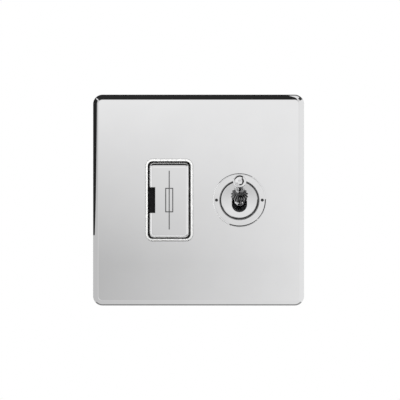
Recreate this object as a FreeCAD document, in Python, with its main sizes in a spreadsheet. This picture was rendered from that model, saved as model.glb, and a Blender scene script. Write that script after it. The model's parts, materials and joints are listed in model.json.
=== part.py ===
import FreeCAD, Part
import math
import os
import Sketcher
from FreeCAD import Vector

# Switched fused spur unit: a square screwless wall plate with a hinged fuse
# carrier on the left and a toggle switch on the right.
# Frame: X to the right, Y into the wall, Z up. The wall is the plane Y = 0 and
# the origin lies midway between the two fixing screws. A "height" below is a
# distance in front of the wall, and a "depth" is a distance behind it.

doc = FreeCAD.newDocument("fused_spur")
sheet = doc.addObject("Spreadsheet::Sheet", "dims")
parts = []

# Driving dimensions in millimetres and degrees

# Front plate, a pressed shell
plate_size = 90.0  # square front plate, edge to edge
plate_height = 6.0  # plate face in front of the wall
plate_sheet = 1.0  # metal thickness of the plate
plate_corner = 4.0  # corner radius seen from the front
plate_roll = 2.4  # radius of the rolled edge

# Insulating liner inside the plate and the frame that it clips to
fit_gap = 0.1  # clearance of a piece in its aperture
loose_gap = 0.4  # clearance of a loose hole or notch
press_gap = 0.02  # clearance round a pin that is held
liner_gap = 0.15  # liner inside the plate, each side
liner_sheet = 1.6  # liner thickness
liner_rim = 1.2  # thickness of the liner's rim
rim_clear = 0.4  # end of the rim in front of the wall
clip_width = 8.0  # snap clip along the plate's edge
clip_pitch = 52.0  # distance between the two clips of an edge
clip_grip = 1.5  # reach of a clip behind the frame
clip_sheet = 0.8  # thickness of a clip's hook
frame_gap = 0.4  # frame inside the liner's rim, each side
frame_sheet = 2.4  # thickness of the mounting frame
frame_corner = 2.5  # corner radius of the frame
frame_lip = 1.2  # lip of the frame that a clip holds
fixing_pitch = 60.3  # distance between the wall fixings
fixing_screw = 3.5  # wall fixing screw diameter
fixing_play = 0.9  # fixing hole over the screw
fixing_slot = 2.4  # extra length of the adjusting slot
fixing_length = 22.0  # fixing screw behind the frame
fixing_neck = 3.0  # relieved neck that keeps a fixing screw in the frame
fixing_head = 6.6  # head diameter of a fixing screw
head_height = 1.9  # head height of a fixing screw
head_play = 3.0  # liner relief over a screw head

# Fuse window and its white surround
bezel_offset = 12.5  # fuse window left of the plate's middle
bezel_width = 20.2  # surround, side to side
bezel_end = 4.8  # surround beyond each end of the fuse
bezel_wall = 0.95  # surround wall seen from the front
bezel_corner = 3.0  # outer corner radius of the surround
bezel_proud = 1.2  # surround in front of the plate
bezel_edge = 0.4  # rounding of the surround's front edge
flange_reach = 2.0  # flange behind the plate, each side

# Fuse carrier, turning on a pin along its right edge
side_gap = 0.7  # gap at the sides of the carrier's cover
end_gap = 0.5  # gap at the ends of the carrier's cover
cover_sunk = 0.2  # cover face behind the surround's face
cover_sheet = 0.8  # thickness of the cover
cover_depth = 1.35  # depth of the cover's turned edge
cover_round = 1.2  # rounding of the cover's edge
cover_corner = 2.0  # corner radius of the cover
notch_depth = 2.5  # lifting notch across the cover
notch_length = 11.0  # lifting notch along the cover
notch_floor = 1.1  # floor of the notch below the cover
hinge_inset = 5.6  # hinge pin right of the window's middle
hinge_sunk = 2.6  # hinge pin behind the surround's face
hinge_pin = 1.8  # hinge pin diameter
hinge_play = 0.04  # running clearance round a pin
knuckle_wall = 0.7  # plastic round the hinge pin
board_sheet = 2.0  # thickness of the carrier's front board
sweep_gap = 0.35  # carrier drum inside the window
cheek_sheet = 1.8  # thickness of the carrier's end cheeks
drum_wall = 1.3  # thickness of the carrier's curved wall
drum_start = 1.0  # curved wall starts, degrees from the board
drum_end = 46.0  # curved wall ends, degrees from the board

# Cartridge fuse and its contacts
fuse_diameter = 6.35  # cartridge fuse diameter
fuse_length = 25.4  # cartridge fuse length
fuse_depth = 2.6  # fuse axis behind the wall plane
cap_length = 6.3  # metal cap along the fuse
cap_sheet = 0.4  # metal cap thickness
grip_wall = 1.1  # wall of the carrier's fuse grips
grip_width = 3.0  # width of a fuse grip
grip_clear = 1.1  # fuse grip off the metal cap
grip_gap = 0.06  # fuse grip round the fuse
grip_open = 62.0  # half angle of the grip's mouth
contact_gap = 0.2  # fuse contact off the cap
contact_sheet = 0.7  # fuse contact thickness
contact_width = 4.8  # fuse contact along the fuse
contact_start = -20.0  # fuse contact starts, degrees from across
contact_finish = 100.0  # fuse contact ends, degrees from across
contact_leg = 1.2  # leg of a fuse contact right of the fuse axis
well_floor = 8.6  # floor of the fuse well behind the wall plane

# Toggle switch, seen from the front
toggle_offset = 17.4  # switch right of the plate's middle
bush_diameter = 16.2  # threaded bush
bush_shoulder = 18.0  # shoulder of the bush behind the plate
bush_seat = 0.8  # bush resting on the mounting frame, all round
dome_edge = 1.9  # edge of the dome in front of the plate
dome_rise = 1.1  # rise of the dome at its middle
dome_round = 0.45  # rounding of the dome's edge
slot_width = 6.5  # lever slot, side to side
slot_height = 10.3  # lever slot, top to bottom
ring_diameter = 22.6  # ring nut
ring_height = 2.2  # ring nut thickness
ring_round = 0.4  # rounding of the ring nut's outer edge
ring_bevel = 0.35  # bevel of the ring nut's inner edge
key_radius = 9.75  # spanner holes from the ring's middle
key_hole = 1.3  # spanner hole diameter
key_depth = 1.3  # spanner hole depth

# Toggle lever, measured along its own axis from the cross pin
lever_tilt = 25.0  # tilt of the lever at each end of its travel
lever_sunk = 2.2  # lever pin behind the dome's top
lever_pin = 1.2  # lever pin diameter
lever_pin_length = 14.4  # lever pin length
root_ball = 6.0  # ball at the lever's root
waist_diameter = 4.4  # waist between the root ball and the skirt
skirt_start = 4.1  # fluted skirt from the pin
skirt_rim = 1.3  # straight rim of the skirt
skirt_diameter = 7.4  # skirt diameter
flute_count = 16  # flutes round the skirt
flute_diameter = 0.9  # cutter that leaves a flute
flute_depth = 0.25  # depth of a flute at the rim
flute_sweep = 50.0  # turn of the flute cutter from neck to rim
flute_lean = 1.5  # how the flutes deepen from neck to rim
neck_diameter = 3.5  # slim neck below the tip
neck_start = 10.4  # neck from the pin
tip_reach = 18.6  # centre of the ball tip from the pin
tip_diameter = 5.6  # ball tip
stem_diameter = 2.4  # lever stem behind the pin
stem_reach = 11.0  # end of the stem behind the pin

# Switch mechanism behind the lever
cradle_start = 7.4  # actuator behind the lever pin
cradle_end = 12.2  # end of the actuator behind the pin
cradle_width = 9.4  # actuator, side to side
cradle_height = 4.4  # actuator, top to bottom
cradle_corner = 0.9  # corner radius of the actuator
pole_pitch = 5.8  # distance between the two poles
plunger_diameter = 2.2  # sprung plunger
plunger_gap = 0.08  # plunger in its bore, all round
nose_reach = 13.2  # centre of the plunger nose from the pin
plunger_root = 10.6  # rear end of the plunger from the pin
bore_root = 8.0  # bottom of the plunger bore from the pin
spring_wire = 0.3  # plunger spring wire
spring_turns = 4  # turns of a plunger spring
rocker_tilt = 9.5  # tilt of the contact rockers at rest
rocker_drop = 3.1  # rocker pivot behind the plunger nose
rocker_gap = 0.15  # plunger nose off the rocker
rocker_sheet = 1.1  # rocker thickness
rocker_width = 3.8  # rocker, side to side
rocker_sweep = 52.0  # half angle of the rocker's trough
rocker_wing = 3.0  # flat wing at each end of a rocker
saddle_sheet = 1.6  # thickness of the saddle a rocker sits on
saddle_gap = 0.05  # running clearance of a rocker on its saddle
button_diameter = 2.4  # contact button
button_height = 0.9  # contact button height
button_gap = 0.12  # left between closed contacts

# Housing behind the wall plane
housing_clear = 2.9  # housing off the fixing screws, each side
housing_length = 56.0  # housing, top to bottom
housing_depth = 22.0  # housing behind the wall plane
housing_corner = 3.0  # corner radius of the housing
housing_rim = 1.6  # rim round the rear recess
recess_depth = 1.3  # recess for the brass strips
switch_well_width = 14.0  # switch well, side to side
switch_well_height = 25.0  # switch well, top to bottom
well_corner = 1.0  # corner radius of the switch well
switch_well_floor = 16.5  # floor of the switch well
slot_play = 0.2  # housing slot round a brass leg
strip_sheet = 0.8  # brass strip thickness
strip_width = 4.0  # brass strip width
back_sheet = 3.0  # rear cover thickness
back_edge = 0.8  # bevel round the rear cover

# Terminals
terminal_width = 7.2  # terminal block, side to side
terminal_length = 9.0  # terminal block along the cable
terminal_depth = 8.2  # terminal block, front to back
terminal_corner = 0.5  # corner radius of a terminal block
terminal_inset = 5.7  # terminal rows from the housing's ends
terminal_bore = 4.4  # cable bore of a terminal
bore_inset = 3.6  # cable bore behind the front of its block
cable_entry = 6.0  # cable entry through the housing
terminal_play = 0.1  # terminal block in its pocket
clamp_screw = 3.9  # terminal screw diameter
clamp_play = 0.05  # terminal screw in its thread, all round
clamp_head = 5.6  # terminal screw head
clamp_head_height = 2.4  # terminal screw head height
clamp_reach = 2.2  # terminal screw inside the block
earth_leg_inset = 1.9  # earth leg from the housing's left side
earth_inset = 8.5  # earth terminals from the housing's left side
feed_live_offset = 6.5  # supply live right of the middle
neutral_inset = 6.1  # neutral terminals from the housing's right side
load_live_offset = 6.0  # load live left of the middle

# Small screws
small_screw = 3.0  # assembly screw diameter
small_head = 5.4  # assembly screw head
small_head_height = 1.6  # assembly screw head height
small_length = 8.0  # assembly screw below its head
screw_inset = 3.9  # outer screws from the housing's sides
frame_screw_end = 5.0  # frame screws from the housing's ends
back_screw_right = 12.9  # cover screws right of the middle
back_screw_z = 15.0  # cover screws from the middle, up
driver_slot = 1.0  # width of a screwdriver slot
driver_depth = 0.8  # depth of a screwdriver slot


class Size:
    """A number in millimetres or degrees that keeps the sheet formula giving it."""

    def __init__(self, value, formula):
        self.value = float(value)
        self.formula = formula

    def joined(self, sign, other, value, flipped=False):
        texts = [self.formula, formula_of(other)]
        if flipped:
            texts.reverse()
        return Size(value, "(" + texts[0] + " " + sign + " " + texts[1] + ")")

    def __add__(self, other):
        return self.joined("+", other, self.value + number(other))

    def __radd__(self, other):
        return self.joined("+", other, number(other) + self.value, True)

    def __sub__(self, other):
        return self.joined("-", other, self.value - number(other))

    def __rsub__(self, other):
        return self.joined("-", other, number(other) - self.value, True)

    def __mul__(self, other):
        return self.joined("*", other, self.value * number(other))

    def __rmul__(self, other):
        return self.joined("*", other, number(other) * self.value, True)

    def __truediv__(self, other):
        return self.joined("/", other, self.value / number(other))

    def __neg__(self):
        return Size(-self.value, "(0 - " + self.formula + ")")


def number(item):
    return item.value if isinstance(item, Size) else float(item)


def formula_of(item):
    return item.formula if isinstance(item, Size) else repr(float(item))


def sine(angle):
    return Size(math.sin(math.radians(angle.value)), "sin(" + angle.formula + ")")


def cosine(angle):
    return Size(math.cos(math.radians(angle.value)), "cos(" + angle.formula + ")")


def root(item):
    return Size(math.sqrt(item.value), "sqrt(" + item.formula + ")")


# Each size above becomes a cell of the sheet, and from here on its name stands for that cell
driving = [(name, value) for name, value in globals().items() if type(value) in (int, float)]
for row, (name, value) in enumerate(driving, 1):
    sheet.set("A" + str(row), name)
    sheet.set("B" + str(row), str(value))
    sheet.setAlias("B" + str(row), name)
    globals()[name] = Size(value, "dims." + name)

# Places that several pieces share
housing_width = fixing_pitch - fixing_screw - 2 * housing_clear
bezel_length = fuse_length + 2 * bezel_end
earth_leg_x = housing_width / 2 - earth_leg_inset
earth_offset = housing_width / 2 - earth_inset
neutral_offset = housing_width / 2 - neutral_inset
frame_screw_x = housing_width / 2 - screw_inset
frame_screw_z = housing_length / 2 - frame_screw_end
terminal_row = housing_length / 2 - terminal_inset
grip_row = fuse_length / 2 - cap_length - grip_clear - grip_width / 2
plate_back = plate_height - plate_sheet
liner_back = plate_back - liner_sheet
bezel_x = -bezel_offset
bezel_front = plate_height + bezel_proud
opening_width = bezel_width - 2 * bezel_wall
opening_length = bezel_length - 2 * bezel_wall
cover_front = bezel_front - cover_sunk
cover_width = opening_width - 2 * side_gap
cover_length = opening_length - 2 * end_gap
hinge_x = bezel_x + hinge_inset
hinge_height = bezel_front - hinge_sunk
drum_radius = opening_width / 2 + hinge_inset - sweep_gap
fuse_u = -hinge_inset
fuse_v = fuse_depth + hinge_height
toggle_x = toggle_offset
dome_top = plate_height + dome_edge + dome_rise
lever_height = dome_top - lever_sunk
rocker_depth = nose_reach + rocker_drop - lever_height
recess_floor = housing_depth - recess_depth
terminal_front = recess_floor - terminal_depth
bore_depth = terminal_front + bore_inset
liner_size = plate_size - 2 * (plate_sheet + liner_gap)
frame_size = liner_size - 2 * (liner_rim + frame_gap)
live_pole = toggle_x - pole_pitch / 2
neutral_pole = toggle_x + pole_pitch / 2
contact_row = fuse_length / 2 - cap_length / 2
straight = Size(180, "180")
quarter = Size(90, "90")

# The carrier, measured from its hinge axis
cover_left = bezel_x - cover_width / 2
notch_right = cover_left + notch_depth
board_left = cover_left + cover_sheet + fit_gap - hinge_x
board_front = hinge_height - cover_front + cover_sheet
board_back = board_front + board_sheet
board_length = cover_length - 2 * (cover_sheet + fit_gap)
edge_back = hinge_height - cover_front + cover_depth

# A rocker's trough follows the plunger nose from level to its rest tilt
nose_y = nose_reach * cosine(lever_tilt) - nose_reach - rocker_drop
nose_z = -(nose_reach * sine(lever_tilt))
rest_y = nose_y * cosine(rocker_tilt) + nose_z * sine(rocker_tilt)
rest_z = nose_z * cosine(rocker_tilt) - nose_y * sine(rocker_tilt)
trough_middle = ((rest_y * rest_y + rest_z * rest_z - rocker_drop * rocker_drop)
                 / (2 * (rest_y + rocker_drop)))
trough_radius = plunger_diameter / 2 + rocker_gap - rocker_drop - trough_middle
wing_front = trough_middle + trough_radius * cosine(rocker_sweep)
wing_end = trough_radius * sine(rocker_sweep) + rocker_wing
button_row = wing_end - button_diameter / 2 - fit_gap
button_back = wing_front + rocker_sheet + button_height
fixed_row = button_row * cosine(rocker_tilt) - button_back * sine(rocker_tilt)
fixed_face = (rocker_depth + button_back * cosine(rocker_tilt)
              + (button_row + button_diameter / 2) * sine(rocker_tilt) + button_gap)

TERMINALS = {
    "terminal_feed_earth": (-earth_offset, terminal_row),
    "terminal_feed_live": (feed_live_offset, terminal_row),
    "terminal_feed_neutral": (neutral_offset, terminal_row),
    "terminal_load_earth": (-earth_offset, -terminal_row),
    "terminal_load_live": (-load_live_offset, -terminal_row),
    "terminal_load_neutral": (neutral_offset, -terminal_row),
}
BACK_SCREWS = [(x, end * back_screw_z) for x in (-frame_screw_x, back_screw_right)
               for end in (-1, 1)]


def bind(item, path, value):
    """Tie a property to the sheet, or just set it where the value is a plain number."""
    if isinstance(value, Size):
        item.setExpression(path, value.formula)
    else:
        item.setExpression(path, repr(float(value)))


def new_body(label, x=0, y=0, z=0, tilt=None):
    """Start the body of one sub-part; tilt turns it about the X axis."""
    body = doc.addObject("PartDesign::Body", label)
    body.Label = label
    if tilt is not None:
        body.Placement.Rotation = FreeCAD.Rotation(Vector(1, 0, 0), 1)
        bind(body, "Placement.Rotation.Angle", tilt)
    for axis, value in zip("xyz", (x, y, z)):
        bind(body, "Placement.Base." + axis, value)
    parts.append(body)
    return body


def sketch_on(body, role, offset=0):
    """Lay an empty sketch on one of the body's own origin planes."""
    sketch = body.newObject("Sketcher::SketchObject", body.Label + "_sketch")
    plane = [item for item in body.Origin.OriginFeatures if item.Role == role][0]
    sketch.AttachmentSupport = [(plane, "")]
    sketch.MapMode = "FlatFace"
    bind(sketch, "AttachmentOffset.Base.z", offset)
    return sketch


def front_sketch(body, height=0):
    """A sketch seen from the front, at a height in front of the wall plane."""
    return sketch_on(body, "XZ_Plane", height)


def fix(sketch, kind, *arguments):
    """Add a constraint whose last argument is a size, and tie it to the sheet."""
    size = arguments[-1]
    index = sketch.addConstraint(Sketcher.Constraint(kind, *arguments[:-1], number(size)))
    if isinstance(size, Size):
        sketch.setExpression("Constraints[" + str(index) + "]", size.formula)


def pin_point(sketch, geometry, end, x, y):
    """Hold a point of the sketch at the given coordinates."""
    fix(sketch, "DistanceX", -1, 1, geometry, end, x)
    fix(sketch, "DistanceY", -1, 1, geometry, end, y)


def flat(x, y):
    return Vector(number(x), number(y), 0)


def circle(sketch, x, y, radius):
    index = sketch.addGeometry(Part.Circle(flat(x, y), Vector(0, 0, 1), number(radius)), False)
    pin_point(sketch, index, 3, x, y)
    fix(sketch, "Radius", index, radius)


def arc_between(start, end, radius, side):
    """The short arc from start to end; side is 1 where it bulges to the left of the way."""
    along = end - start
    across = Vector(-along.y, along.x, 0).normalize() * side
    reach = math.sqrt(max(radius ** 2 - (along.Length / 2) ** 2, 0.0))
    centre = (start + end) / 2 - across * reach
    if side > 0:
        start, end = end, start
    angles = [math.atan2(point.y - centre.y, point.x - centre.x) for point in (start, end)]
    if angles[1] < angles[0]:
        angles[1] += 2 * math.pi
    return Part.ArcOfCircle(Part.Circle(centre, Vector(0, 0, 1), radius), *angles)


def outline(sketch, points):
    """A closed outline. A point (x, y) is reached by a line, and a point
    (x, y, radius, side) by an arc that bulges to the left (1) or right (-1)."""
    first = sketch.GeometryCount
    ends = []
    for place, point in enumerate(points):
        before = points[place - 1]
        start = flat(*before[:2])
        finish = flat(*point[:2])
        if len(point) == 2:
            edge = Part.LineSegment(start, finish)
            ends.append((1, 2))
        else:
            edge = arc_between(start, finish, number(point[2]), point[3])
            ends.append((2, 1) if point[3] > 0 else (1, 2))
        sketch.addGeometry(edge, False)
    for place, point in enumerate(points):
        following = (place + 1) % len(points)
        sketch.addConstraint(Sketcher.Constraint(
            "Coincident", first + place, ends[place][1], first + following, ends[following][0]))
        pin_point(sketch, first + place, ends[place][1], *point[:2])
        if len(point) == 4:
            fix(sketch, "Radius", first + place, point[2])


def box(sketch, x, y, width, height):
    """A square-cornered rectangle about a centre."""
    left, right = x - width / 2, x + width / 2
    low, high = y - height / 2, y + height / 2
    outline(sketch, [(left, low), (right, low), (right, high), (left, high)])


def rounded_box(sketch, x, y, width, height, radius):
    """A rectangle about a centre, with round corners that meet its sides smoothly."""
    first = sketch.GeometryCount
    span_x, span_y = width / 2 - radius, height / 2 - radius
    centres = [(x + span_x, y + span_y), (x - span_x, y + span_y),
               (x - span_x, y - span_y), (x + span_x, y - span_y)]
    reach = number(radius)
    for turn, centre in enumerate(centres):
        start = turn * math.pi / 2
        base = Part.Circle(flat(*centre), Vector(0, 0, 1), reach)
        sketch.addGeometry(Part.ArcOfCircle(base, start, start + math.pi / 2), False)
    for turn in range(4):
        angle = (turn + 1) * math.pi / 2
        out = Vector(math.cos(angle), math.sin(angle), 0) * reach
        begin, finish = flat(*centres[turn]), flat(*centres[(turn + 1) % 4])
        sketch.addGeometry(Part.LineSegment(begin + out, finish + out), False)
    for turn, centre in enumerate(centres):
        pin_point(sketch, first + turn, 3, *centre)
        fix(sketch, "Radius", first + turn, radius)
        line = first + 4 + turn
        sketch.addConstraint(Sketcher.Constraint("Tangent", first + turn, 2, line, 1))
        sketch.addConstraint(Sketcher.Constraint("Tangent", line, 2, first + (turn + 1) % 4, 1))


def slot(sketch, x, y, width, length, upright=True):
    """A hole with two straight sides and round ends, length measured end to end."""
    first = sketch.GeometryCount
    radius = width / 2
    span = length / 2 - radius
    reach = number(radius)
    turn = 0.0 if upright else -math.pi / 2
    centres = [(x, y + span), (x, y - span)] if upright else [(x + span, y), (x - span, y)]
    for half, centre in enumerate(centres):
        start = turn + half * math.pi
        base = Part.Circle(flat(*centre), Vector(0, 0, 1), reach)
        sketch.addGeometry(Part.ArcOfCircle(base, start, start + math.pi), False)
    for half in range(2):
        angle = turn + (half + 1) * math.pi
        out = Vector(math.cos(angle), math.sin(angle), 0) * reach
        begin, finish = flat(*centres[half]), flat(*centres[1 - half])
        sketch.addGeometry(Part.LineSegment(begin + out, finish + out), False)
    for half, centre in enumerate(centres):
        pin_point(sketch, first + half, 3, *centre)
        fix(sketch, "Radius", first + half, radius)
        line = first + 2 + half
        sketch.addConstraint(Sketcher.Constraint("Tangent", first + half, 2, line, 1))
        sketch.addConstraint(Sketcher.Constraint("Tangent", line, 2, first + 1 - half, 1))


def feature(body, kind, sketch, length=None, reverse=False, both=False):
    """Add a pad, pocket or other feature of a sketch to the body."""
    item = body.newObject("PartDesign::" + kind, body.Label + "_" + kind.lower())
    item.Profile = sketch
    if length is not None:
        bind(item, "Length", length)
    if both:
        item.SideType = "Symmetric"
    item.Reversed = reverse
    return item


def pad(body, sketch, length, **options):
    return feature(body, "Pad", sketch, length, **options)


def pocket(body, sketch, length, **options):
    return feature(body, "Pocket", sketch, length, **options)


def turned(body, sketch, kind="Revolution", axis="H_Axis"):
    """Turn a half profile right round one of its sketch's axes."""
    item = feature(body, kind, sketch)
    item.ReferenceAxis = (sketch, [axis])
    item.Angle = 360.0
    return item


def edges_where(item, test):
    """Names of the edges of a feature that pass a test."""
    doc.recompute()
    return ["Edge" + str(place + 1) for place, edge in enumerate(item.Shape.Edges) if test(edge)]


def dress(body, item, kind, names, size_name, size):
    """Round or bevel the named edges of the feature that the body ends in."""
    cut = body.newObject("PartDesign::" + kind, body.Label + "_" + kind.lower())
    cut.Base = (item, names)
    bind(cut, size_name, size)
    return cut


def at_height(height):
    """A test for edges that lie flat at one height in front of the wall."""
    level = -number(height)
    return lambda edge: (abs(edge.BoundBox.YMin - level) < 0.001
                         and abs(edge.BoundBox.YMax - level) < 0.001)


def round_front(body, item, height, radius, also=None):
    """Round the edges that lie at one height, or those of them that pass a test."""
    level = at_height(height)
    names = edges_where(item, lambda edge: level(edge) and (also is None or also(edge)))
    return dress(body, item, "Fillet", names, "Radius", radius)


def screw_group(label, places, top, diameter, length, head, rise, facing=-1, neck=None):
    """Identical slotted screws in one node, each a solid of its own; a neck is given by its
    diameter and its length under the head."""
    plain = neck[1] if neck else 0
    lengths = [("_shank", diameter, length - plain, -facing, plain), ("_cap", head, rise, facing, 0)]
    if neck:
        lengths.append(("_neck", neck[0], plain, -facing, 0))
    screws = []
    for x, z in places:
        whole = doc.addObject("Part::MultiFuse", label + "_blank")
        turned_solids = []
        for role, width, reach, way, start in lengths:
            item = doc.addObject("Part::Cylinder", label + role)
            bind(item, "Radius", width / 2)
            bind(item, "Height", reach)
            item.Placement.Rotation = FreeCAD.Rotation(Vector(1, 0, 0), -90 * way)
            bind(item, "Placement.Base.x", x)
            bind(item, "Placement.Base.y", -top - facing * start)
            bind(item, "Placement.Base.z", z)
            turned_solids.append(item)
        whole.Shapes = turned_solids
        slit = doc.addObject("Part::Box", label + "_slit")
        bind(slit, "Length", 2 * head)
        bind(slit, "Width", 2 * driver_depth)
        bind(slit, "Height", driver_slot)
        finished = doc.addObject("Part::Cut", label + "_one")
        finished.Base = whole
        finished.Tool = slit
        bind(slit, "Placement.Base.x", x - head)
        near = -top + facing * (rise - driver_depth)
        bind(slit, "Placement.Base.y", near if facing > 0 else near - 2 * driver_depth)
        bind(slit, "Placement.Base.z", z - driver_slot / 2)
        screws.append(finished)
    return group(label, screws)


def group(label, solids):
    """Several separate solids in one node."""
    compound = doc.addObject("Part::Compound", label)
    compound.Label = label
    compound.Links = solids
    parts.append(compound)
    return compound


def front_plate():
    body = new_body("front_plate")
    face = front_sketch(body)
    rounded_box(face, 0, 0, plate_size, plate_size, plate_corner)
    block = pad(body, face, plate_height)
    round_front(body, block, plate_height, plate_roll)
    hollow = front_sketch(body)
    inside = plate_size - 2 * plate_sheet
    rounded_box(hollow, 0, 0, inside, inside, plate_corner - plate_sheet)
    cavity = pocket(body, hollow, plate_back, reverse=True)
    round_front(body, cavity, plate_back, plate_roll - plate_sheet)
    windows = front_sketch(body, plate_height)
    rounded_box(windows, bezel_x, 0, bezel_width + 2 * fit_gap, bezel_length + 2 * fit_gap,
                bezel_corner + fit_gap)
    circle(windows, toggle_x, 0, bush_diameter / 2 + fit_gap)
    pocket(body, windows, 2 * plate_sheet)


def plate_liner():
    body = new_body("plate_liner")
    rim = front_sketch(body, rim_clear)
    corner = plate_corner - plate_sheet
    rounded_box(rim, 0, 0, liner_size, liner_size, corner)
    block = pad(body, rim, plate_back - rim_clear)
    round_front(body, block, plate_back, plate_roll)
    inner = front_sketch(body, rim_clear)
    inner_size = liner_size - 2 * liner_rim
    rounded_box(inner, 0, 0, inner_size, inner_size, corner - liner_rim)
    pocket(body, inner, liner_back - rim_clear, reverse=True)
    windows = front_sketch(body, plate_back)
    flange = 2 * (flange_reach + fit_gap)
    rounded_box(windows, bezel_x, 0, bezel_width + flange, bezel_length + flange,
                bezel_corner + flange_reach)
    circle(windows, toggle_x, 0, bush_shoulder / 2 + fit_gap)
    pocket(body, windows, 2 * liner_sheet)
    ribs = front_sketch(body, frame_sheet)
    rib_span = frame_size / 2 - 2 * liner_rim
    for side in (-1, 1):
        box(ribs, side * rib_span, 0, liner_rim, clip_pitch)
        box(ribs, 0, side * rib_span, clip_pitch, liner_rim)
    pad(body, ribs, liner_back - frame_sheet)
    reliefs = front_sketch(body, plate_back)
    for side in (-1, 1):
        circle(reliefs, side * fixing_pitch / 2, 0, (fixing_head + head_play) / 2)
    for x, z in corners(frame_screw_x, frame_screw_z):
        circle(reliefs, x, z, (small_head + head_play / 2) / 2)
    pocket(body, reliefs, 2 * liner_sheet)
    hooks = front_sketch(body, rim_clear)
    reach = frame_gap + clip_grip
    place = inner_size / 2 - reach / 2
    for side in (-1, 1):
        for end in (-1, 1):
            box(hooks, end * clip_pitch / 2, side * (place + liner_rim / 4),
                clip_width, reach + liner_rim / 2)
    pad(body, hooks, clip_sheet - fit_gap)


def mounting_frame():
    body = new_body("mounting_frame")
    face = front_sketch(body)
    rounded_box(face, 0, 0, frame_size, frame_size, frame_corner)
    pad(body, face, frame_sheet)
    windows = front_sketch(body, frame_sheet)
    rounded_box(windows, bezel_x, 0, bezel_width + 2 * fit_gap, bezel_length + 2 * fit_gap,
                bezel_corner + fit_gap)
    circle(windows, toggle_x, 0, bush_diameter / 2 - bush_seat)
    hole = fixing_screw + fixing_play
    circle(windows, -fixing_pitch / 2, 0, hole / 2)
    slot(windows, fixing_pitch / 2, 0, hole, hole + fixing_slot, upright=False)
    for x, z in corners(frame_screw_x, frame_screw_z):
        circle(windows, x, z, small_screw / 2 + fit_gap)
    pocket(body, windows, 2 * frame_sheet)
    notches = front_sketch(body)
    depth = clip_grip + frame_gap
    for side in (-1, 1):
        for end in (-1, 1):
            box(notches, end * clip_pitch / 2, side * (frame_size / 2 - depth / 2 + fit_gap),
                clip_width + loose_gap, depth + 2 * fit_gap)
    pocket(body, notches, frame_lip, reverse=True)


def fuse_bezel():
    body = new_body("fuse_bezel")
    wall = front_sketch(body)
    rounded_box(wall, bezel_x, 0, bezel_width, bezel_length, bezel_corner)
    block = pad(body, wall, bezel_front)
    round_front(body, block, bezel_front, bezel_edge)
    flange = front_sketch(body, liner_back)
    rounded_box(flange, bezel_x, 0, bezel_width + 2 * flange_reach,
                bezel_length + 2 * flange_reach, bezel_corner + flange_reach - fit_gap)
    pad(body, flange, liner_sheet)
    opening = front_sketch(body)
    rounded_box(opening, bezel_x, 0, opening_width, opening_length, bezel_corner - bezel_wall)
    pocket(body, opening, 2 * bezel_front, reverse=True)
    bores = sketch_on(body, "XY_Plane")
    circle(bores, hinge_x, -hinge_height, hinge_pin / 2 + press_gap)
    pocket(body, bores, 2 * bezel_length, both=True)


def hinge_pin_piece():
    body = new_body("carrier_hinge_pin", x=hinge_x, y=-hinge_height)
    section = sketch_on(body, "XY_Plane")
    circle(section, 0, 0, hinge_pin / 2)
    pad(body, section, bezel_length - 2 * fit_gap, both=True)


def polar_point(radius, angle):
    """Across and back from a centre, by a radius and an angle from straight across."""
    return radius * cosine(angle), radius * sine(angle)


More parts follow.
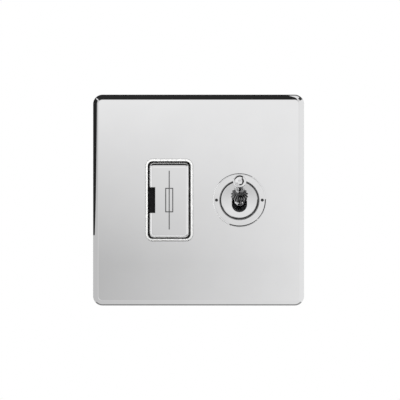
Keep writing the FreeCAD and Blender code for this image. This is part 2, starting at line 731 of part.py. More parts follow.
def fuse_carrier():
    """The drum-shaped drawer, drawn about its hinge axis with depth as Y."""
    body = new_body("fuse_carrier", x=hinge_x, y=-hinge_height)
    board = sketch_on(body, "XY_Plane")
    drum_left = fit_gap - drum_radius
    outline(board, [(drum_left, edge_back), (0, edge_back), (0, board_back),
                    (drum_left, board_back)])
    pad(body, board, board_length, both=True)
    insert = front_sketch(body, -edge_back)
    inset = 2 * (cover_sheet + fit_gap)
    rounded_box(insert, bezel_x - hinge_x, 0, cover_width - inset, board_length,
                cover_corner - cover_sheet)
    pad(body, insert, edge_back - board_front)
    barrel = sketch_on(body, "XY_Plane")
    circle(barrel, 0, 0, hinge_pin / 2 + knuckle_wall)
    pad(body, barrel, board_length, both=True)

    first = polar_point(drum_radius, straight - drum_start)
    last = polar_point(drum_radius, straight - drum_end)
    inner = drum_radius - drum_wall
    wall = sketch_on(body, "XY_Plane")
    outline(wall, [first, (*last, drum_radius, 1), polar_point(inner, straight - drum_end),
                   (*polar_point(inner, straight - drum_start), inner, -1)])
    pad(body, wall, board_length, both=True)

    cheek_back = fuse_v + fuse_diameter / 2 + grip_wall
    cheek_right = fuse_u + fuse_diameter / 2 + grip_wall
    cheek_left = -root(drum_radius * drum_radius - cheek_back * cheek_back)
    for side in (-1, 1):
        cheek = sketch_on(body, "XY_Plane", side * (board_length - cheek_sheet) / 2)
        outline(cheek, [(board_left, board_back - fit_gap), first,
                        (cheek_left, cheek_back, drum_radius, 1),
                        (cheek_right, cheek_back), (cheek_right, board_back - fit_gap)])
        pad(body, cheek, cheek_sheet, both=True)

    grip_in = fuse_diameter / 2 - cap_sheet + grip_gap
    grip_out = grip_in + grip_wall
    mouth = (quarter + grip_open, quarter - grip_open)
    for side in (-1, 1):
        height = side * grip_row
        ring = sketch_on(body, "XY_Plane", height)
        rims = []
        for reach in (grip_out, grip_in):
            ends = [polar_point(reach, angle) for angle in mouth]
            rims.append([(fuse_u + x, fuse_v + y) for x, y in ends])
        outline(ring, [rims[0][0], (fuse_u, fuse_v - grip_out, grip_out, -1),
                       (*rims[0][1], grip_out, -1), rims[1][1],
                       (fuse_u, fuse_v - grip_in, grip_in, 1), (*rims[1][0], grip_in, 1)])
        pad(body, ring, grip_width, both=True)
        web = sketch_on(body, "XY_Plane", height)
        web_back = fuse_v - grip_in - grip_wall / 2
        box(web, fuse_u, (board_back - fit_gap + web_back) / 2, 2 * grip_wall,
            web_back - board_back + fit_gap)
        pad(body, web, grip_width, both=True)
    notch = front_sketch(body, -board_front)
    box(notch, notch_right - hinge_x - notch_depth, 0, 2 * notch_depth, notch_length)
    pocket(body, notch, notch_floor)
    bore = sketch_on(body, "XY_Plane")
    circle(bore, 0, 0, hinge_pin / 2 + hinge_play)
    pocket(body, bore, 2 * board_length, both=True)


def carrier_cover():
    body = new_body("carrier_cover")
    face = front_sketch(body, cover_front - cover_depth)
    rounded_box(face, bezel_x, 0, cover_width, cover_length, cover_corner)
    block = pad(body, face, cover_depth)
    round_front(body, block, cover_front, cover_round)
    tray = front_sketch(body, cover_front - cover_depth)
    rounded_box(tray, bezel_x, 0, cover_width - 2 * cover_sheet, cover_length - 2 * cover_sheet,
                cover_corner - cover_sheet)
    pocket(body, tray, cover_depth - cover_sheet, reverse=True)
    notch = front_sketch(body, cover_front)
    box(notch, notch_right - notch_depth, 0, 2 * notch_depth, notch_length)
    pocket(body, notch, 2 * cover_depth)


def fuse_pieces():
    barrel = new_body("fuse_barrel", x=bezel_x, y=fuse_depth)
    section = sketch_on(barrel, "XY_Plane")
    circle(section, 0, 0, fuse_diameter / 2 - cap_sheet)
    pad(barrel, section, fuse_length - 2 * cap_sheet, both=True)
    for name, side in (("fuse_cap_top", 1), ("fuse_cap_bottom", -1)):
        cap = new_body(name, x=bezel_x, y=fuse_depth)
        outer = sketch_on(cap, "XY_Plane", side * (fuse_length - cap_length) / 2)
        circle(outer, 0, 0, fuse_diameter / 2)
        pad(cap, outer, cap_length, both=True)
        inner = sketch_on(cap, "XY_Plane", side * (fuse_length - cap_length - 2 * cap_sheet) / 2)
        circle(inner, 0, 0, fuse_diameter / 2 - cap_sheet)
        pocket(cap, inner, cap_length, both=True)


def fuse_contacts():
    """Sprung brass fingers that bear on the caps from behind and from the hinge side."""
    inner = fuse_diameter / 2 + contact_gap
    outer = inner + contact_sheet
    for name, side in (("fuse_contact_feed", 1), ("fuse_contact_load", -1)):
        body = new_body(name, x=bezel_x, y=fuse_depth)
        finger = sketch_on(body, "XY_Plane", side * contact_row)
        outline(finger, [polar_point(outer, contact_start),
                         (*polar_point(outer, contact_finish), outer, -1),
                         polar_point(inner, contact_finish),
                         (*polar_point(inner, contact_start), inner, 1)])
        pad(body, finger, contact_width, both=True)
        leg = sketch_on(body, "XY_Plane", side * contact_row)
        start = inner + contact_sheet / 2
        end = recess_floor - fuse_depth
        box(leg, contact_leg, (start + end) / 2, contact_sheet, end - start)
        pad(body, leg, contact_width, both=True)


def toggle_bush():
    body = new_body("toggle_bush", x=toggle_x)
    profile = sketch_on(body, "YZ_Plane")
    radius, shoulder = bush_diameter / 2, bush_shoulder / 2
    edge = -(plate_height + dome_edge)
    dome = (radius * radius + dome_rise * dome_rise) / (2 * dome_rise)
    outline(profile, [(-frame_sheet, 0), (-frame_sheet, radius), (-liner_back, radius),
                      (-liner_back, shoulder), (-plate_back, shoulder), (-plate_back, radius),
                      (edge, radius), (-dome_top, 0, dome, -1)])
    blank = turned(body, profile)
    round_front(body, blank, plate_height + dome_edge, dome_round)
    opening = front_sketch(body, dome_top)
    slot(opening, 0, 0, slot_width, slot_height)
    pocket(body, opening, 2 * dome_top)
    cross = sketch_on(body, "YZ_Plane")
    circle(cross, -lever_height, 0, lever_pin / 2 + press_gap)
    pocket(body, cross, 2 * bush_diameter, both=True)


def toggle_ring():
    body = new_body("toggle_ring", x=toggle_x)
    profile = sketch_on(body, "YZ_Plane")
    inner, outer = bush_diameter / 2 + fit_gap, ring_diameter / 2
    front = plate_height + ring_height
    outline(profile, [(-plate_height, inner), (-plate_height, outer), (-front, outer),
                      (-front, inner)])
    blank = turned(body, profile)
    middle = number(inner + outer) / 2
    rounded = round_front(body, blank, front, ring_round,
                          lambda edge: edge.BoundBox.ZMax > middle)
    names = edges_where(rounded, lambda edge: at_height(front)(edge)
                        and edge.BoundBox.ZMax < middle)
    dress(body, rounded, "Chamfer", names, "Size", ring_bevel)
    keys = front_sketch(body, front)
    for side in (-1, 1):
        circle(keys, side * key_radius, 0, key_hole / 2)
    pocket(body, keys, key_depth)


def lever_pin_piece():
    body = new_body("lever_cross_pin", x=toggle_x, y=-lever_height)
    section = sketch_on(body, "YZ_Plane")
    circle(section, 0, 0, lever_pin / 2)
    pad(body, section, lever_pin_length, both=True)


def on_lever(label, across=0):
    """A body drawn along the lever's own axis, tip towards minus Y."""
    return new_body(label, x=toggle_x + across, y=-lever_height, tilt=-lever_tilt)


def toggle_lever():
    body = on_lever("toggle_lever")
    ball, tip = root_ball / 2, tip_diameter / 2
    stem, neck, rim = stem_diameter / 2, neck_diameter / 2, skirt_diameter / 2
    waist = waist_diameter / 2
    bell_start = skirt_start + skirt_rim
    run, fall = neck_start - bell_start, rim - neck
    bell = (run * run + fall * fall) / (2 * fall)
    profile = sketch_on(body, "YZ_Plane")
    outline(profile, [
        (stem_reach, 0), (stem_reach, stem), (root(ball * ball - stem * stem), stem),
        (0, ball, ball, -1), (-root(ball * ball - waist * waist), waist, ball, -1),
        (-skirt_start, waist), (-skirt_start, rim), (-bell_start, rim),
        (-neck_start, neck, bell, 1), (root(tip * tip - neck * neck) - tip_reach, neck),
        (-tip_reach, tip, tip, -1), (-tip_reach - tip, 0, tip, -1)])
    turned(body, profile)
    cutter = flute_diameter / 2
    throat = front_sketch(body, neck_start)
    circle(throat, 0, neck + cutter, cutter)
    line = throat.addGeometry(Part.LineSegment(flat(-1, bell + neck + flute_lean),
                                               flat(1, bell + neck + flute_lean)), True)
    pin_point(throat, line, 1, -1, bell + neck + flute_lean)
    pin_point(throat, line, 2, 1, bell + neck + flute_lean)
    groove = feature(body, "Groove", throat)
    groove.ReferenceAxis = (throat, ["Axis0"])
    bind(groove, "Angle", flute_sweep)
    rim_cut = front_sketch(body, bell_start)
    circle(rim_cut, 0, rim + cutter - flute_depth, cutter)
    straight_cut = pocket(body, rim_cut, 2 * skirt_rim)
    pattern = body.newObject("PartDesign::PolarPattern", "toggle_lever_flutes")
    pattern.Originals = [groove, straight_cut]
    pattern.Axis = (profile, ["H_Axis"])
    pattern.Angle = 360
    bind(pattern, "Occurrences", flute_count)
    body.Tip = pattern
    cross = sketch_on(body, "YZ_Plane")
    circle(cross, 0, 0, lever_pin / 2 + hinge_play)
    pocket(body, cross, 2 * root_ball, both=True)


def lever_cradle():
    """The insulating actuator on the lever's stem, bored for the two plungers."""
    body = on_lever("lever_cradle")
    block = front_sketch(body, -cradle_end)
    rounded_box(block, 0, 0, cradle_width, cradle_height, cradle_corner)
    pad(body, block, cradle_end - cradle_start)
    stem = front_sketch(body, -cradle_start)
    circle(stem, 0, 0, stem_diameter / 2 + fit_gap / 2)
    pocket(body, stem, stem_reach - cradle_start + fit_gap / 2)
    bores = front_sketch(body, -cradle_end)
    for side in (-1, 1):
        circle(bores, side * pole_pitch / 2, 0, plunger_diameter / 2 + plunger_gap)
    pocket(body, bores, cradle_end - bore_root, reverse=True)


def plungers():
    radius = plunger_diameter / 2
    for name, side in (("plunger_live", -1), ("plunger_neutral", 1)):
        body = on_lever(name, side * pole_pitch / 2)
        profile = sketch_on(body, "YZ_Plane")
        outline(profile, [(plunger_root, 0), (nose_reach + radius, 0),
                          (nose_reach, radius, radius, -1), (plunger_root, radius)])
        turned(body, profile)


def plunger_springs():
    """Round-wire springs between each plunger and the bottom of its bore."""
    radius = number(plunger_diameter / 2 - spring_wire / 2)
    wire_radius = number(spring_wire) / 2
    room = number(plunger_root - bore_root) - 2 * wire_radius
    turn = FreeCAD.Rotation(Vector(1, 0, 0), -90)
    tilt = FreeCAD.Rotation(Vector(1, 0, 0), -number(lever_tilt))
    for name, side in (("spring_live", -1), ("spring_neutral", 1)):
        helix = Part.makeHelix(room / number(spring_turns), room, radius)
        ring = Part.Wire(Part.makeCircle(wire_radius, Vector(radius, 0, 0), Vector(0, 1, 0)))
        coil = Part.Wire(helix.Edges).makePipeShell([ring], True, True)
        item = doc.addObject("Part::Feature", name)
        item.Label = name
        item.Shape = coil
        start = tilt.multVec(Vector(0, number(bore_root) + wire_radius, 0))
        middle = Vector(number(toggle_x + side * pole_pitch / 2), -number(lever_height), 0)
        item.Placement = FreeCAD.Placement(middle + start, tilt.multiply(turn))
        parts.append(item)


def rockers():
    """Brass see-saw contacts whose troughs follow the plunger noses."""
    front, rear = trough_radius, trough_radius + rocker_sheet
    for name, pole in (("rocker_live", live_pole), ("rocker_neutral", neutral_pole)):
        body = new_body(name, x=pole, y=rocker_depth, tilt=rocker_tilt)
        profile = sketch_on(body, "YZ_Plane")
        outline(profile, [
            (trough_middle + front * cosine(rocker_sweep), -front * sine(rocker_sweep)),
            (trough_middle + front, 0, front, -1),
            (wing_front, front * sine(rocker_sweep), front, -1),
            (wing_front, wing_end), (wing_front + rocker_sheet, wing_end),
            (wing_front + rocker_sheet, rear * sine(rocker_sweep)),
            (trough_middle + rear * cosine(rocker_sweep), rear * sine(rocker_sweep)),
            (trough_middle + rear, 0, rear, 1),
            (trough_middle + rear * cosine(rocker_sweep), -rear * sine(rocker_sweep), rear, 1),
            (wing_front + rocker_sheet, -rear * sine(rocker_sweep)),
            (wing_front + rocker_sheet, -wing_end), (wing_front, -wing_end)])
        pad(body, profile, rocker_width, both=True)
        boss = sketch_on(body, "YZ_Plane")
        boss_front = trough_middle + front + rocker_sheet / 2
        box(boss, boss_front / 2, 0, -boss_front, 2 * saddle_sheet)
        pad(body, boss, rocker_width, both=True)
        seat = sketch_on(body, "YZ_Plane")
        circle(seat, 0, 0, saddle_sheet / 2 + saddle_gap)
        pocket(body, seat, 2 * rocker_width, both=True)
        button = front_sketch(body, -(wing_front + rocker_sheet + button_height))
        circle(button, 0, button_row, button_diameter / 2)
        pad(body, button, button_height)


def strip(label, boxes, holes):
    """A flat brass strip in the rear recess, given as overlapping boxes
    (left, right, low, high), with round holes over the terminal screws."""
    body = new_body(label)
    for left, right, low, high in boxes:
        face = front_sketch(body, -(recess_floor + strip_sheet))
        box(face, (left + right) / 2, (low + high) / 2, right - left, high - low)
        pad(body, face, strip_sheet)
    if holes:
        bores = front_sketch(body, -recess_floor)
        for x, z in holes:
            circle(bores, x, z, (clamp_screw + loose_gap) / 2)
        pocket(body, bores, 2 * strip_sheet)
    return body


def leg(body, x, z, width, thickness, depth):
    """Stand a leg on a strip, reaching forward to a depth behind the wall plane."""
    foot = front_sketch(body, -recess_floor - strip_sheet / 2)
    box(foot, x, z, width, thickness)
    pad(body, foot, recess_floor + strip_sheet / 2 - depth)


def tab(x, z):
    """The square end of a strip under a terminal screw."""
    half = terminal_width / 2 - loose_gap
    return x - half, x + half, z - half, z + half


def brass_strips():
    half = strip_width / 2
    feed_live = strip("feed_live_strip", [
        tab(feed_live_offset, terminal_row),
        (feed_live_offset - half, feed_live_offset + half, fixed_row - half, terminal_row),
        (feed_live_offset - half, live_pole + rocker_width / 2, fixed_row - half,
         fixed_row + half)], [(feed_live_offset, terminal_row)])
    feed_neutral = strip("feed_neutral_strip", [
        tab(neutral_offset, terminal_row),
        (neutral_pole - half, neutral_pole + half, fixed_row - half, terminal_row)],
        [(neutral_offset, terminal_row)])
    for body, pole in ((feed_live, live_pole), (feed_neutral, neutral_pole)):
        leg(body, pole, fixed_row, rocker_width, strip_sheet, fixed_face + button_height)
        pad_face = front_sketch(body, -(fixed_face + button_height + strip_sheet))
        circle(pad_face, pole, fixed_row, button_diameter / 2)
        pad(body, pad_face, button_height + strip_sheet)

    contact_x = bezel_x + contact_leg
    live_link = strip("live_link_strip", [
        (contact_x - half, live_pole + rocker_width / 2, -half, half),
        (contact_x - half, contact_x + half, -half, contact_row + half)], [])
    neutral_link = strip("neutral_link_strip", [
        tab(neutral_offset, -terminal_row),
        (neutral_pole - half, neutral_pole + half, -terminal_row, half)],
        [(neutral_offset, -terminal_row)])
    for body, pole in ((live_link, live_pole), (neutral_link, neutral_pole)):
        leg(body, pole, 0, rocker_width, saddle_sheet, rocker_depth)
        tip = sketch_on(body, "YZ_Plane", pole)
        circle(tip, rocker_depth, 0, saddle_sheet / 2)
        pad(body, tip, rocker_width, both=True)

    strip("load_live_strip", [
        (contact_x - half, half - load_live_offset, -contact_row - half, half - contact_row),
        (-half - load_live_offset, half - load_live_offset, -terminal_row, -contact_row),
        tab(-load_live_offset, -terminal_row)], [(-load_live_offset, -terminal_row)])

    earth = strip("earth_strip", [
        (-earth_offset - half, half - earth_offset, -terminal_row, terminal_row),
        tab(-earth_offset, terminal_row), tab(-earth_offset, -terminal_row),
        (-earth_leg_x - strip_sheet / 2, half - earth_offset, -half, half)],
        [(-earth_offset, terminal_row), (-earth_offset, -terminal_row)])
    leg(earth, -earth_leg_x, 0, strip_sheet, strip_width, 0)


def terminals():
    for name, (x, z) in TERMINALS.items():
        body = new_body(name)
        face = front_sketch(body, -recess_floor)
        rounded_box(face, x, z, terminal_width, terminal_length, terminal_corner)
        pad(body, face, terminal_depth)
        bore = sketch_on(body, "XY_Plane", z)
        circle(bore, x, bore_depth, terminal_bore / 2)
        pocket(body, bore, 2 * terminal_length, both=True)
        thread = front_sketch(body, -recess_floor)
        circle(thread, x, z, clamp_screw / 2 + clamp_play)
        pocket(body, thread, recess_floor - bore_depth, reverse=True)


def rear_housing():
    body = new_body("rear_housing")
    block = front_sketch(body, -housing_depth)
    rounded_box(block, 0, 0, housing_width, housing_length, housing_corner)
    pad(body, block, housing_depth)

    recess = front_sketch(body, -housing_depth)
    rounded_box(recess, 0, 0, housing_width - 2 * housing_rim, housing_length - 2 * housing_rim,
                housing_corner - housing_rim)
    pocket(body, recess, recess_depth, reverse=True)

    fuse_well = front_sketch(body)
    rounded_box(fuse_well, bezel_x, 0, opening_width, opening_length, bezel_corner - bezel_wall)
    pocket(body, fuse_well, well_floor)
    switch_well = front_sketch(body)
    rounded_box(switch_well, toggle_x, 0, switch_well_width, switch_well_height,
                well_corner)
    pocket(body, switch_well, switch_well_floor)

    slots = front_sketch(body)
    play = 2 * slot_play
    for side in (-1, 1):
        box(slots, bezel_x + contact_leg, side * contact_row, contact_sheet + play,
            contact_width + play)
    for pole in (live_pole, neutral_pole):
        box(slots, pole, 0, rocker_width + play, saddle_sheet + play)
        box(slots, pole, fixed_row, rocker_width + play, strip_sheet + play)
    box(slots, -earth_leg_x, 0, strip_sheet + play, strip_width + play)
    pocket(body, slots, 2 * housing_depth)

    pockets = front_sketch(body, -housing_depth)
    for x, z in TERMINALS.values():
        box(pockets, x, z, terminal_width + 2 * terminal_play,
            terminal_length + 2 * terminal_play)
    pocket(body, pockets, housing_depth - terminal_front, reverse=True)
    for row in (-1, 1):
        entries = sketch_on(body, "XY_Plane", row * housing_length / 2)
        for x, z in TERMINALS.values():
            if (number(z) > 0) == (row > 0):
                circle(entries, x, bore_depth, cable_entry / 2)
        pocket(body, entries, housing_length / 2 - terminal_row, reverse=row < 0)

    front_holes = front_sketch(body)
    for x, z in corners(frame_screw_x, frame_screw_z):
        circle(front_holes, x, z, small_screw / 2 + clamp_play)
    pocket(body, front_holes, small_length)
    rear_holes = front_sketch(body, -housing_depth)
    for x, z in BACK_SCREWS:
        circle(rear_holes, x, z, small_screw / 2 + clamp_play)
    pocket(body, rear_holes, small_length, reverse=True)


def rear_cover():
    body = new_body("rear_cover")
    back = housing_depth + back_sheet
    block = front_sketch(body, -back)
    rounded_box(block, 0, 0, housing_width, housing_length, housing_corner)
    slab = pad(body, block, back_sheet)
    names = edges_where(slab, at_height(-back))
    dress(body, slab, "Chamfer", names, "Size", back_edge)
    holes = front_sketch(body, -back)
    for x, z in TERMINALS.values():
        circle(holes, x, z, clamp_head / 2 + loose_gap)
    for x, z in BACK_SCREWS:
        circle(holes, x, z, small_screw / 2 + fit_gap)
    pocket(body, holes, 2 * back_sheet, reverse=True)
    sinks = front_sketch(body, -back)
    for x, z in BACK_SCREWS:
        circle(sinks, x, z, small_head / 2 + slot_play)
    pocket(body, sinks, small_head_height, reverse=True)


def corners(x, z):
    """The four places at plus and minus a distance across and up."""
    return [(side * x, end * z) for side in (-1, 1) for end in (-1, 1)]


def screws():
    screw_group("fixing_screws", [(side * fixing_pitch / 2, 0) for side in (-1, 1)],
                frame_sheet, fixing_screw, frame_sheet + fixing_length, fixing_head, head_height,
                neck=(fixing_neck, frame_sheet))
    screw_group("frame_screws", corners(frame_screw_x, frame_screw_z),
                frame_sheet, small_screw, small_length, small_head, small_head_height)
    seat = housing_depth + back_sheet - small_head_height
    screw_group("cover_screws", BACK_SCREWS,
                -seat, small_screw, small_length, small_head, small_head_height, facing=1)
    screw_group("terminal_screws", list(TERMINALS.values()), -(recess_floor + strip_sheet),
                clamp_screw, strip_sheet + clamp_reach, clamp_head, clamp_head_height, facing=1)


def check_and_write():
    """Stop on any failed feature or empty or broken solid, then write each sub-part."""
    doc.recompute()
    for item in doc.Objects:
        if "Invalid" in item.State or "Error" in item.State:
            raise RuntimeError(item.Name + " failed: " + ", ".join(item.State))
        if item.TypeId in ("PartDesign::Pocket", "PartDesign::Groove"):
            if item.Shape.Volume > item.BaseFeature.Shape.Volume - 0.0001:
                raise RuntimeError(item.Name + " removes nothing")
    os.makedirs("parts", exist_ok=True)
    for part in parts:
        if part.Shape.isNull() or not part.Shape.isValid():
            raise RuntimeError(part.Label + " has no sound solid")
        part.Shape.exportStep(os.path.join("parts", part.Label + ".step"))


front_plate()
plate_liner()
mounting_frame()
fuse_bezel()
hinge_pin_piece()
fuse_carrier()
carrier_cover()
fuse_pieces()
fuse_contacts()
toggle_bush()
toggle_ring()
lever_pin_piece()
toggle_lever()
lever_cradle()
plungers()
plunger_springs()
rockers()
brass_strips()
terminals()
rear_housing()
rear_cover()
screws()
check_and_write()
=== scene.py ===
"""Looks of a switched fused spur unit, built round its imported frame.

X runs to the right as seen from the front, Y into the wall and Z up. The wall is the plane
Y = 0 and every length is in metres.
"""
import json
import logging
import math
from dataclasses import dataclass, field, replace
from enum import Enum

import bmesh
import bpy
from mathutils import Matrix, Vector

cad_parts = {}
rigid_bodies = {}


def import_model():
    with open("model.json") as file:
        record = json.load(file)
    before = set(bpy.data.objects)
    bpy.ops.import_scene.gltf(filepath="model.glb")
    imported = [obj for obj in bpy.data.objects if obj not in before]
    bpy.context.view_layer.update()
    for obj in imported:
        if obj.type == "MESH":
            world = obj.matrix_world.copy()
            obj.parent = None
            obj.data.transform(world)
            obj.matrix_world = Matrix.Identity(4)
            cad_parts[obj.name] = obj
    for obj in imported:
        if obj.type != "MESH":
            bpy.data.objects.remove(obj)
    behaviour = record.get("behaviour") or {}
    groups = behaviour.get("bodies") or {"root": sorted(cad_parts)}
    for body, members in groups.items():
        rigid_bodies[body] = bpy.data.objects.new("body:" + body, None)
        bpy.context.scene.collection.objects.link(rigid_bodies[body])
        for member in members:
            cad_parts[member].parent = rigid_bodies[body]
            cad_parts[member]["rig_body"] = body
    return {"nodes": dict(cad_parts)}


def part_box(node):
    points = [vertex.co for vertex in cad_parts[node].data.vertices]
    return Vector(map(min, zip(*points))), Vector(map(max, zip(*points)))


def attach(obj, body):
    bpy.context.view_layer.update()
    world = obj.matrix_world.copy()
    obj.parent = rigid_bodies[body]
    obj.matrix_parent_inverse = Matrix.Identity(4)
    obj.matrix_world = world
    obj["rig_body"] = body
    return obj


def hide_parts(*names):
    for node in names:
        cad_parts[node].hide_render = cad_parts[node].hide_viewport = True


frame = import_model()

log = logging.getLogger("fused_spur")

Colour = tuple[float, float, float]
Point = tuple[float, float, float]
Station = tuple[float, float]
Span = tuple[float, float]
Link = tuple[bpy.types.Node, str | int, bpy.types.Node, str | int]
Ring = list[bmesh.types.BMEdge]

UP = Vector((0.0, 0.0, 1.0))
WELD = 1e-6
FULL_TURN = 2.0 * math.pi
SHARP_FOLD = math.radians(35.0)


class Slot(Enum):
    """The record's material slots."""

    CHROME = "polished_chrome"
    WHITE = "white_moulding"
    BLACK = "black_moulding"
    GREY = "grey_moulding"
    ZINC = "zinc_plated_steel"
    STEEL = "bright_steel"
    BRASS = "brass"
    CERAMIC = "fuse_ceramic"
    NICKEL = "nickel_cap"


def add_node(tree: bpy.types.NodeTree, kind: str, inputs: dict[str | int, object] | None = None,
             **settings: object) -> bpy.types.Node:
    """Add a node to a tree.

    Args:
        tree: The tree that gets the node.
        kind: The node's type, without the words that the types start with.
        inputs: Values for inputs, by name or number.
        **settings: The node's own settings, which are made before its inputs are set.

    Returns:
        The new node.
    """
    made = tree.nodes.new("ShaderNode" + kind)
    for name, value in settings.items():
        setattr(made, name, value)
    for name, value in (inputs or {}).items():
        made.inputs[name].default_value = value
    return made


def connect(tree: bpy.types.NodeTree, *links: Link) -> None:
    """Link outputs of nodes to inputs.

    Args:
        tree: The tree that holds the nodes.
        *links: A node and its output, then a node and its input, for each link.
    """
    for source, outlet, target, inlet in links:
        tree.links.new(source.outputs[outlet], target.inputs[inlet])


class SharedEffects:
    """Node groups that several finishes use, each built once."""

    def __init__(self) -> None:
        """Build the groups."""
        self.drift = self.build_drift()
        self.grain = self.build_grain()
        self.turning = self.build_turning()

    def start_group(self, name: str, inputs: dict[str, float | None], outputs: dict[str, str],
                    ) -> tuple[bpy.types.NodeTree, bpy.types.Node, bpy.types.Node, bpy.types.Node]:
        """Start a node group with its sockets and the nodes that every group has.

        Args:
            name: The group's name.
            inputs: The value of each input, or None where the input is a colour.
            outputs: The kind of each output, Float or Color.

        Returns:
            The group, the node with its inputs, the node with its outputs, and its coordinates.
        """
        tree = bpy.data.node_groups.new(name, "ShaderNodeTree")
        for title, value in inputs.items():
            kind = "NodeSocketColor" if value is None else "NodeSocketFloat"
            made = tree.interface.new_socket(name=title, in_out="INPUT", socket_type=kind)
            if value is not None:
                made.default_value = value
        for title, kind in outputs.items():
            tree.interface.new_socket(name=title, in_out="OUTPUT", socket_type="NodeSocket" + kind)
        inlet = tree.nodes.new("NodeGroupInput")
        outlet = tree.nodes.new("NodeGroupOutput")
        return tree, inlet, outlet, add_node(tree, "TexCoord")

    def build_drift(self) -> bpy.types.NodeTree:
        """Two colours that change slowly into each other over the surface.

        Returns:
            The group, with inputs First, Second and Scale and the output Color.
        """
        tree, inlet, outlet, place = self.start_group(
            "colour_drift", {"First": None, "Second": None, "Scale": 200.0}, {"Color": "Color"})
        noise = add_node(tree, "TexNoise", {"Detail": 5.0, "Roughness": 0.6})
        spread = add_node(tree, "MapRange", {"From Min": 0.35, "From Max": 0.65},
                          interpolation_type="SMOOTHSTEP")
        blend = add_node(tree, "Mix", data_type="RGBA")
        connect(tree, (place, "Object", noise, "Vector"), (inlet, "Scale", noise, "Scale"),
                (noise, "Fac", spread, "Value"), (spread, "Result", blend, "Factor"),
                (inlet, "First", blend, "A"), (inlet, "Second", blend, "B"),
                (blend, "Result", outlet, "Color"))
        return tree

    def build_grain(self) -> bpy.types.NodeTree:
        """Fine relief with a slower swell under it, and a roughness that follows the swell.

        Returns:
            The group, with inputs Scale, Low and High and outputs Height and Roughness.
        """
        tree, inlet, outlet, place = self.start_group(
            "surface_grain", {"Scale": 3000.0, "Low": 0.2, "High": 0.3},
            {"Height": "Float", "Roughness": "Float"})
        fine = add_node(tree, "TexNoise", {"Detail": 3.0})
        slow = add_node(tree, "TexNoise", {"Detail": 2.0})
        slower = add_node(tree, "Math", {1: 0.08}, operation="MULTIPLY")
        both = add_node(tree, "Math", operation="ADD")
        rough = add_node(tree, "MapRange", {"From Min": 0.3, "From Max": 0.7})
        connect(tree, (place, "Object", fine, "Vector"), (place, "Object", slow, "Vector"),
                (inlet, "Scale", fine, "Scale"), (inlet, "Scale", slower, 0),
                (slower, "Value", slow, "Scale"), (fine, "Fac", both, 0), (slow, "Fac", both, 1),
                (both, "Value", outlet, "Height"), (slow, "Fac", rough, "Value"),
                (inlet, "Low", rough, "To Min"), (inlet, "High", rough, "To Max"),
                (rough, "Result", outlet, "Roughness"))
        return tree

    def build_turning(self) -> bpy.types.NodeTree:
        """Fine parallel tool marks.

        Returns:
            The group, with the input Scale and the output Height.
        """
        tree, inlet, outlet, place = self.start_group("tool_marks", {"Scale": 2000.0},
                                                      {"Height": "Float"})
        wave = add_node(tree, "TexWave", {"Distortion": 1.5, "Detail": 3.0, "Detail Scale": 0.6},
                        bands_direction="Y")
        connect(tree, (place, "Object", wave, "Vector"), (inlet, "Scale", wave, "Scale"),
                (wave, "Fac", outlet, "Height"))
        return tree


@dataclass(frozen=True)
class Finish:
    """How one surface looks.

    Its colour drifts between two tones, its roughness between two values, and a fine grain of
    grain_height lies over it. Marks are tool marks, and painted_shade_reach is how near another
    surface has to be for shade to be painted into the colour.
    """

    name: str
    slot: Slot
    colour: Colour
    second: Colour
    drift_scale: float
    smoothest: float
    roughest: float
    grain_scale: float
    grain_height: float
    metallic: float = 0.0
    specular: float = 0.5
    marks_scale: float = 0.0
    coat: float = 0.0
    coat_roughness: float = 0.08
    painted_shade_reach: float = 0.0
    painted_shade_power: float = 2.2
    painted_shade_tone: float = 0.01
    painted_shade_samples: int = 16

    def material(self, effects: SharedEffects) -> bpy.types.Material:
        """Build the finish, or fetch it where it is built already.

        Args:
            effects: The shared node groups.

        Returns:
            The finished material.
        """
        title = self.name + "_finish"
        if title in bpy.data.materials:
            return bpy.data.materials[title]
        made = bpy.data.materials.new(title)
        made.use_nodes = True
        tree = made.node_tree
        shader = tree.nodes["Principled BSDF"]
        for name, value in (("Metallic", self.metallic), ("Coat Weight", self.coat),
                            ("Coat Roughness", self.coat_roughness),
                            ("Specular IOR Level", self.specular)):
            shader.inputs[name].default_value = value
        drift = add_node(tree, "Group", {"First": (*self.colour, 1.0), "Second": (*self.second, 1.0),
                                         "Scale": self.drift_scale}, node_tree=effects.drift)
        grain = add_node(tree, "Group", {"Scale": self.grain_scale, "Low": self.smoothest,
                                         "High": self.roughest}, node_tree=effects.grain)
        relief = add_node(tree, "Bump", {"Distance": self.grain_height})
        connect(tree, (drift, "Color", shader, "Base Color"), (grain, "Roughness", shader, "Roughness"),
                (grain, "Height", relief, "Height"), (relief, "Normal", shader, "Normal"))
        # Painted shade: an occlusion pass darkens the base colour near other surfaces.
        if self.painted_shade_reach > 0.0:
            self.paint_crevice_shade(tree, drift, shader)
        if self.marks_scale > 0.0:
            marks = add_node(tree, "Group", {"Scale": self.marks_scale}, node_tree=effects.turning)
            ridges = add_node(tree, "Bump", {"Distance": self.grain_height})
            connect(tree, (marks, "Height", ridges, "Height"), (relief, "Normal", ridges, "Normal"),
                    (ridges, "Normal", shader, "Normal"))
        return made

    def paint_crevice_shade(self, tree: bpy.types.NodeTree, drift: bpy.types.Node,
                        shader: bpy.types.Node) -> None:
        """Paint shade into the colour where little light reaches, in bores, slots and flutes.

        Args:
            tree: The material's node tree.
            drift: The node with the colour before the painted shade.
            shader: The node that gets the colour with the painted shade.
        """
        # Painted shade: the less open the surroundings, the nearer the colour goes to painted_shade_tone.
        shade = add_node(tree, "AmbientOcclusion", {"Distance": self.painted_shade_reach},
                         samples=self.painted_shade_samples)
        curve = add_node(tree, "Math", {1: self.painted_shade_power}, operation="POWER")
        tone = self.painted_shade_tone
        blend = add_node(tree, "Mix", {"A": (tone, tone, tone, 1.0)}, data_type="RGBA")
        connect(tree, (shade, "AO", curve, 0), (curve, "Value", blend, "Factor"),
                (drift, "Color", blend, "B"), (blend, "Result", shader, "Base Color"))


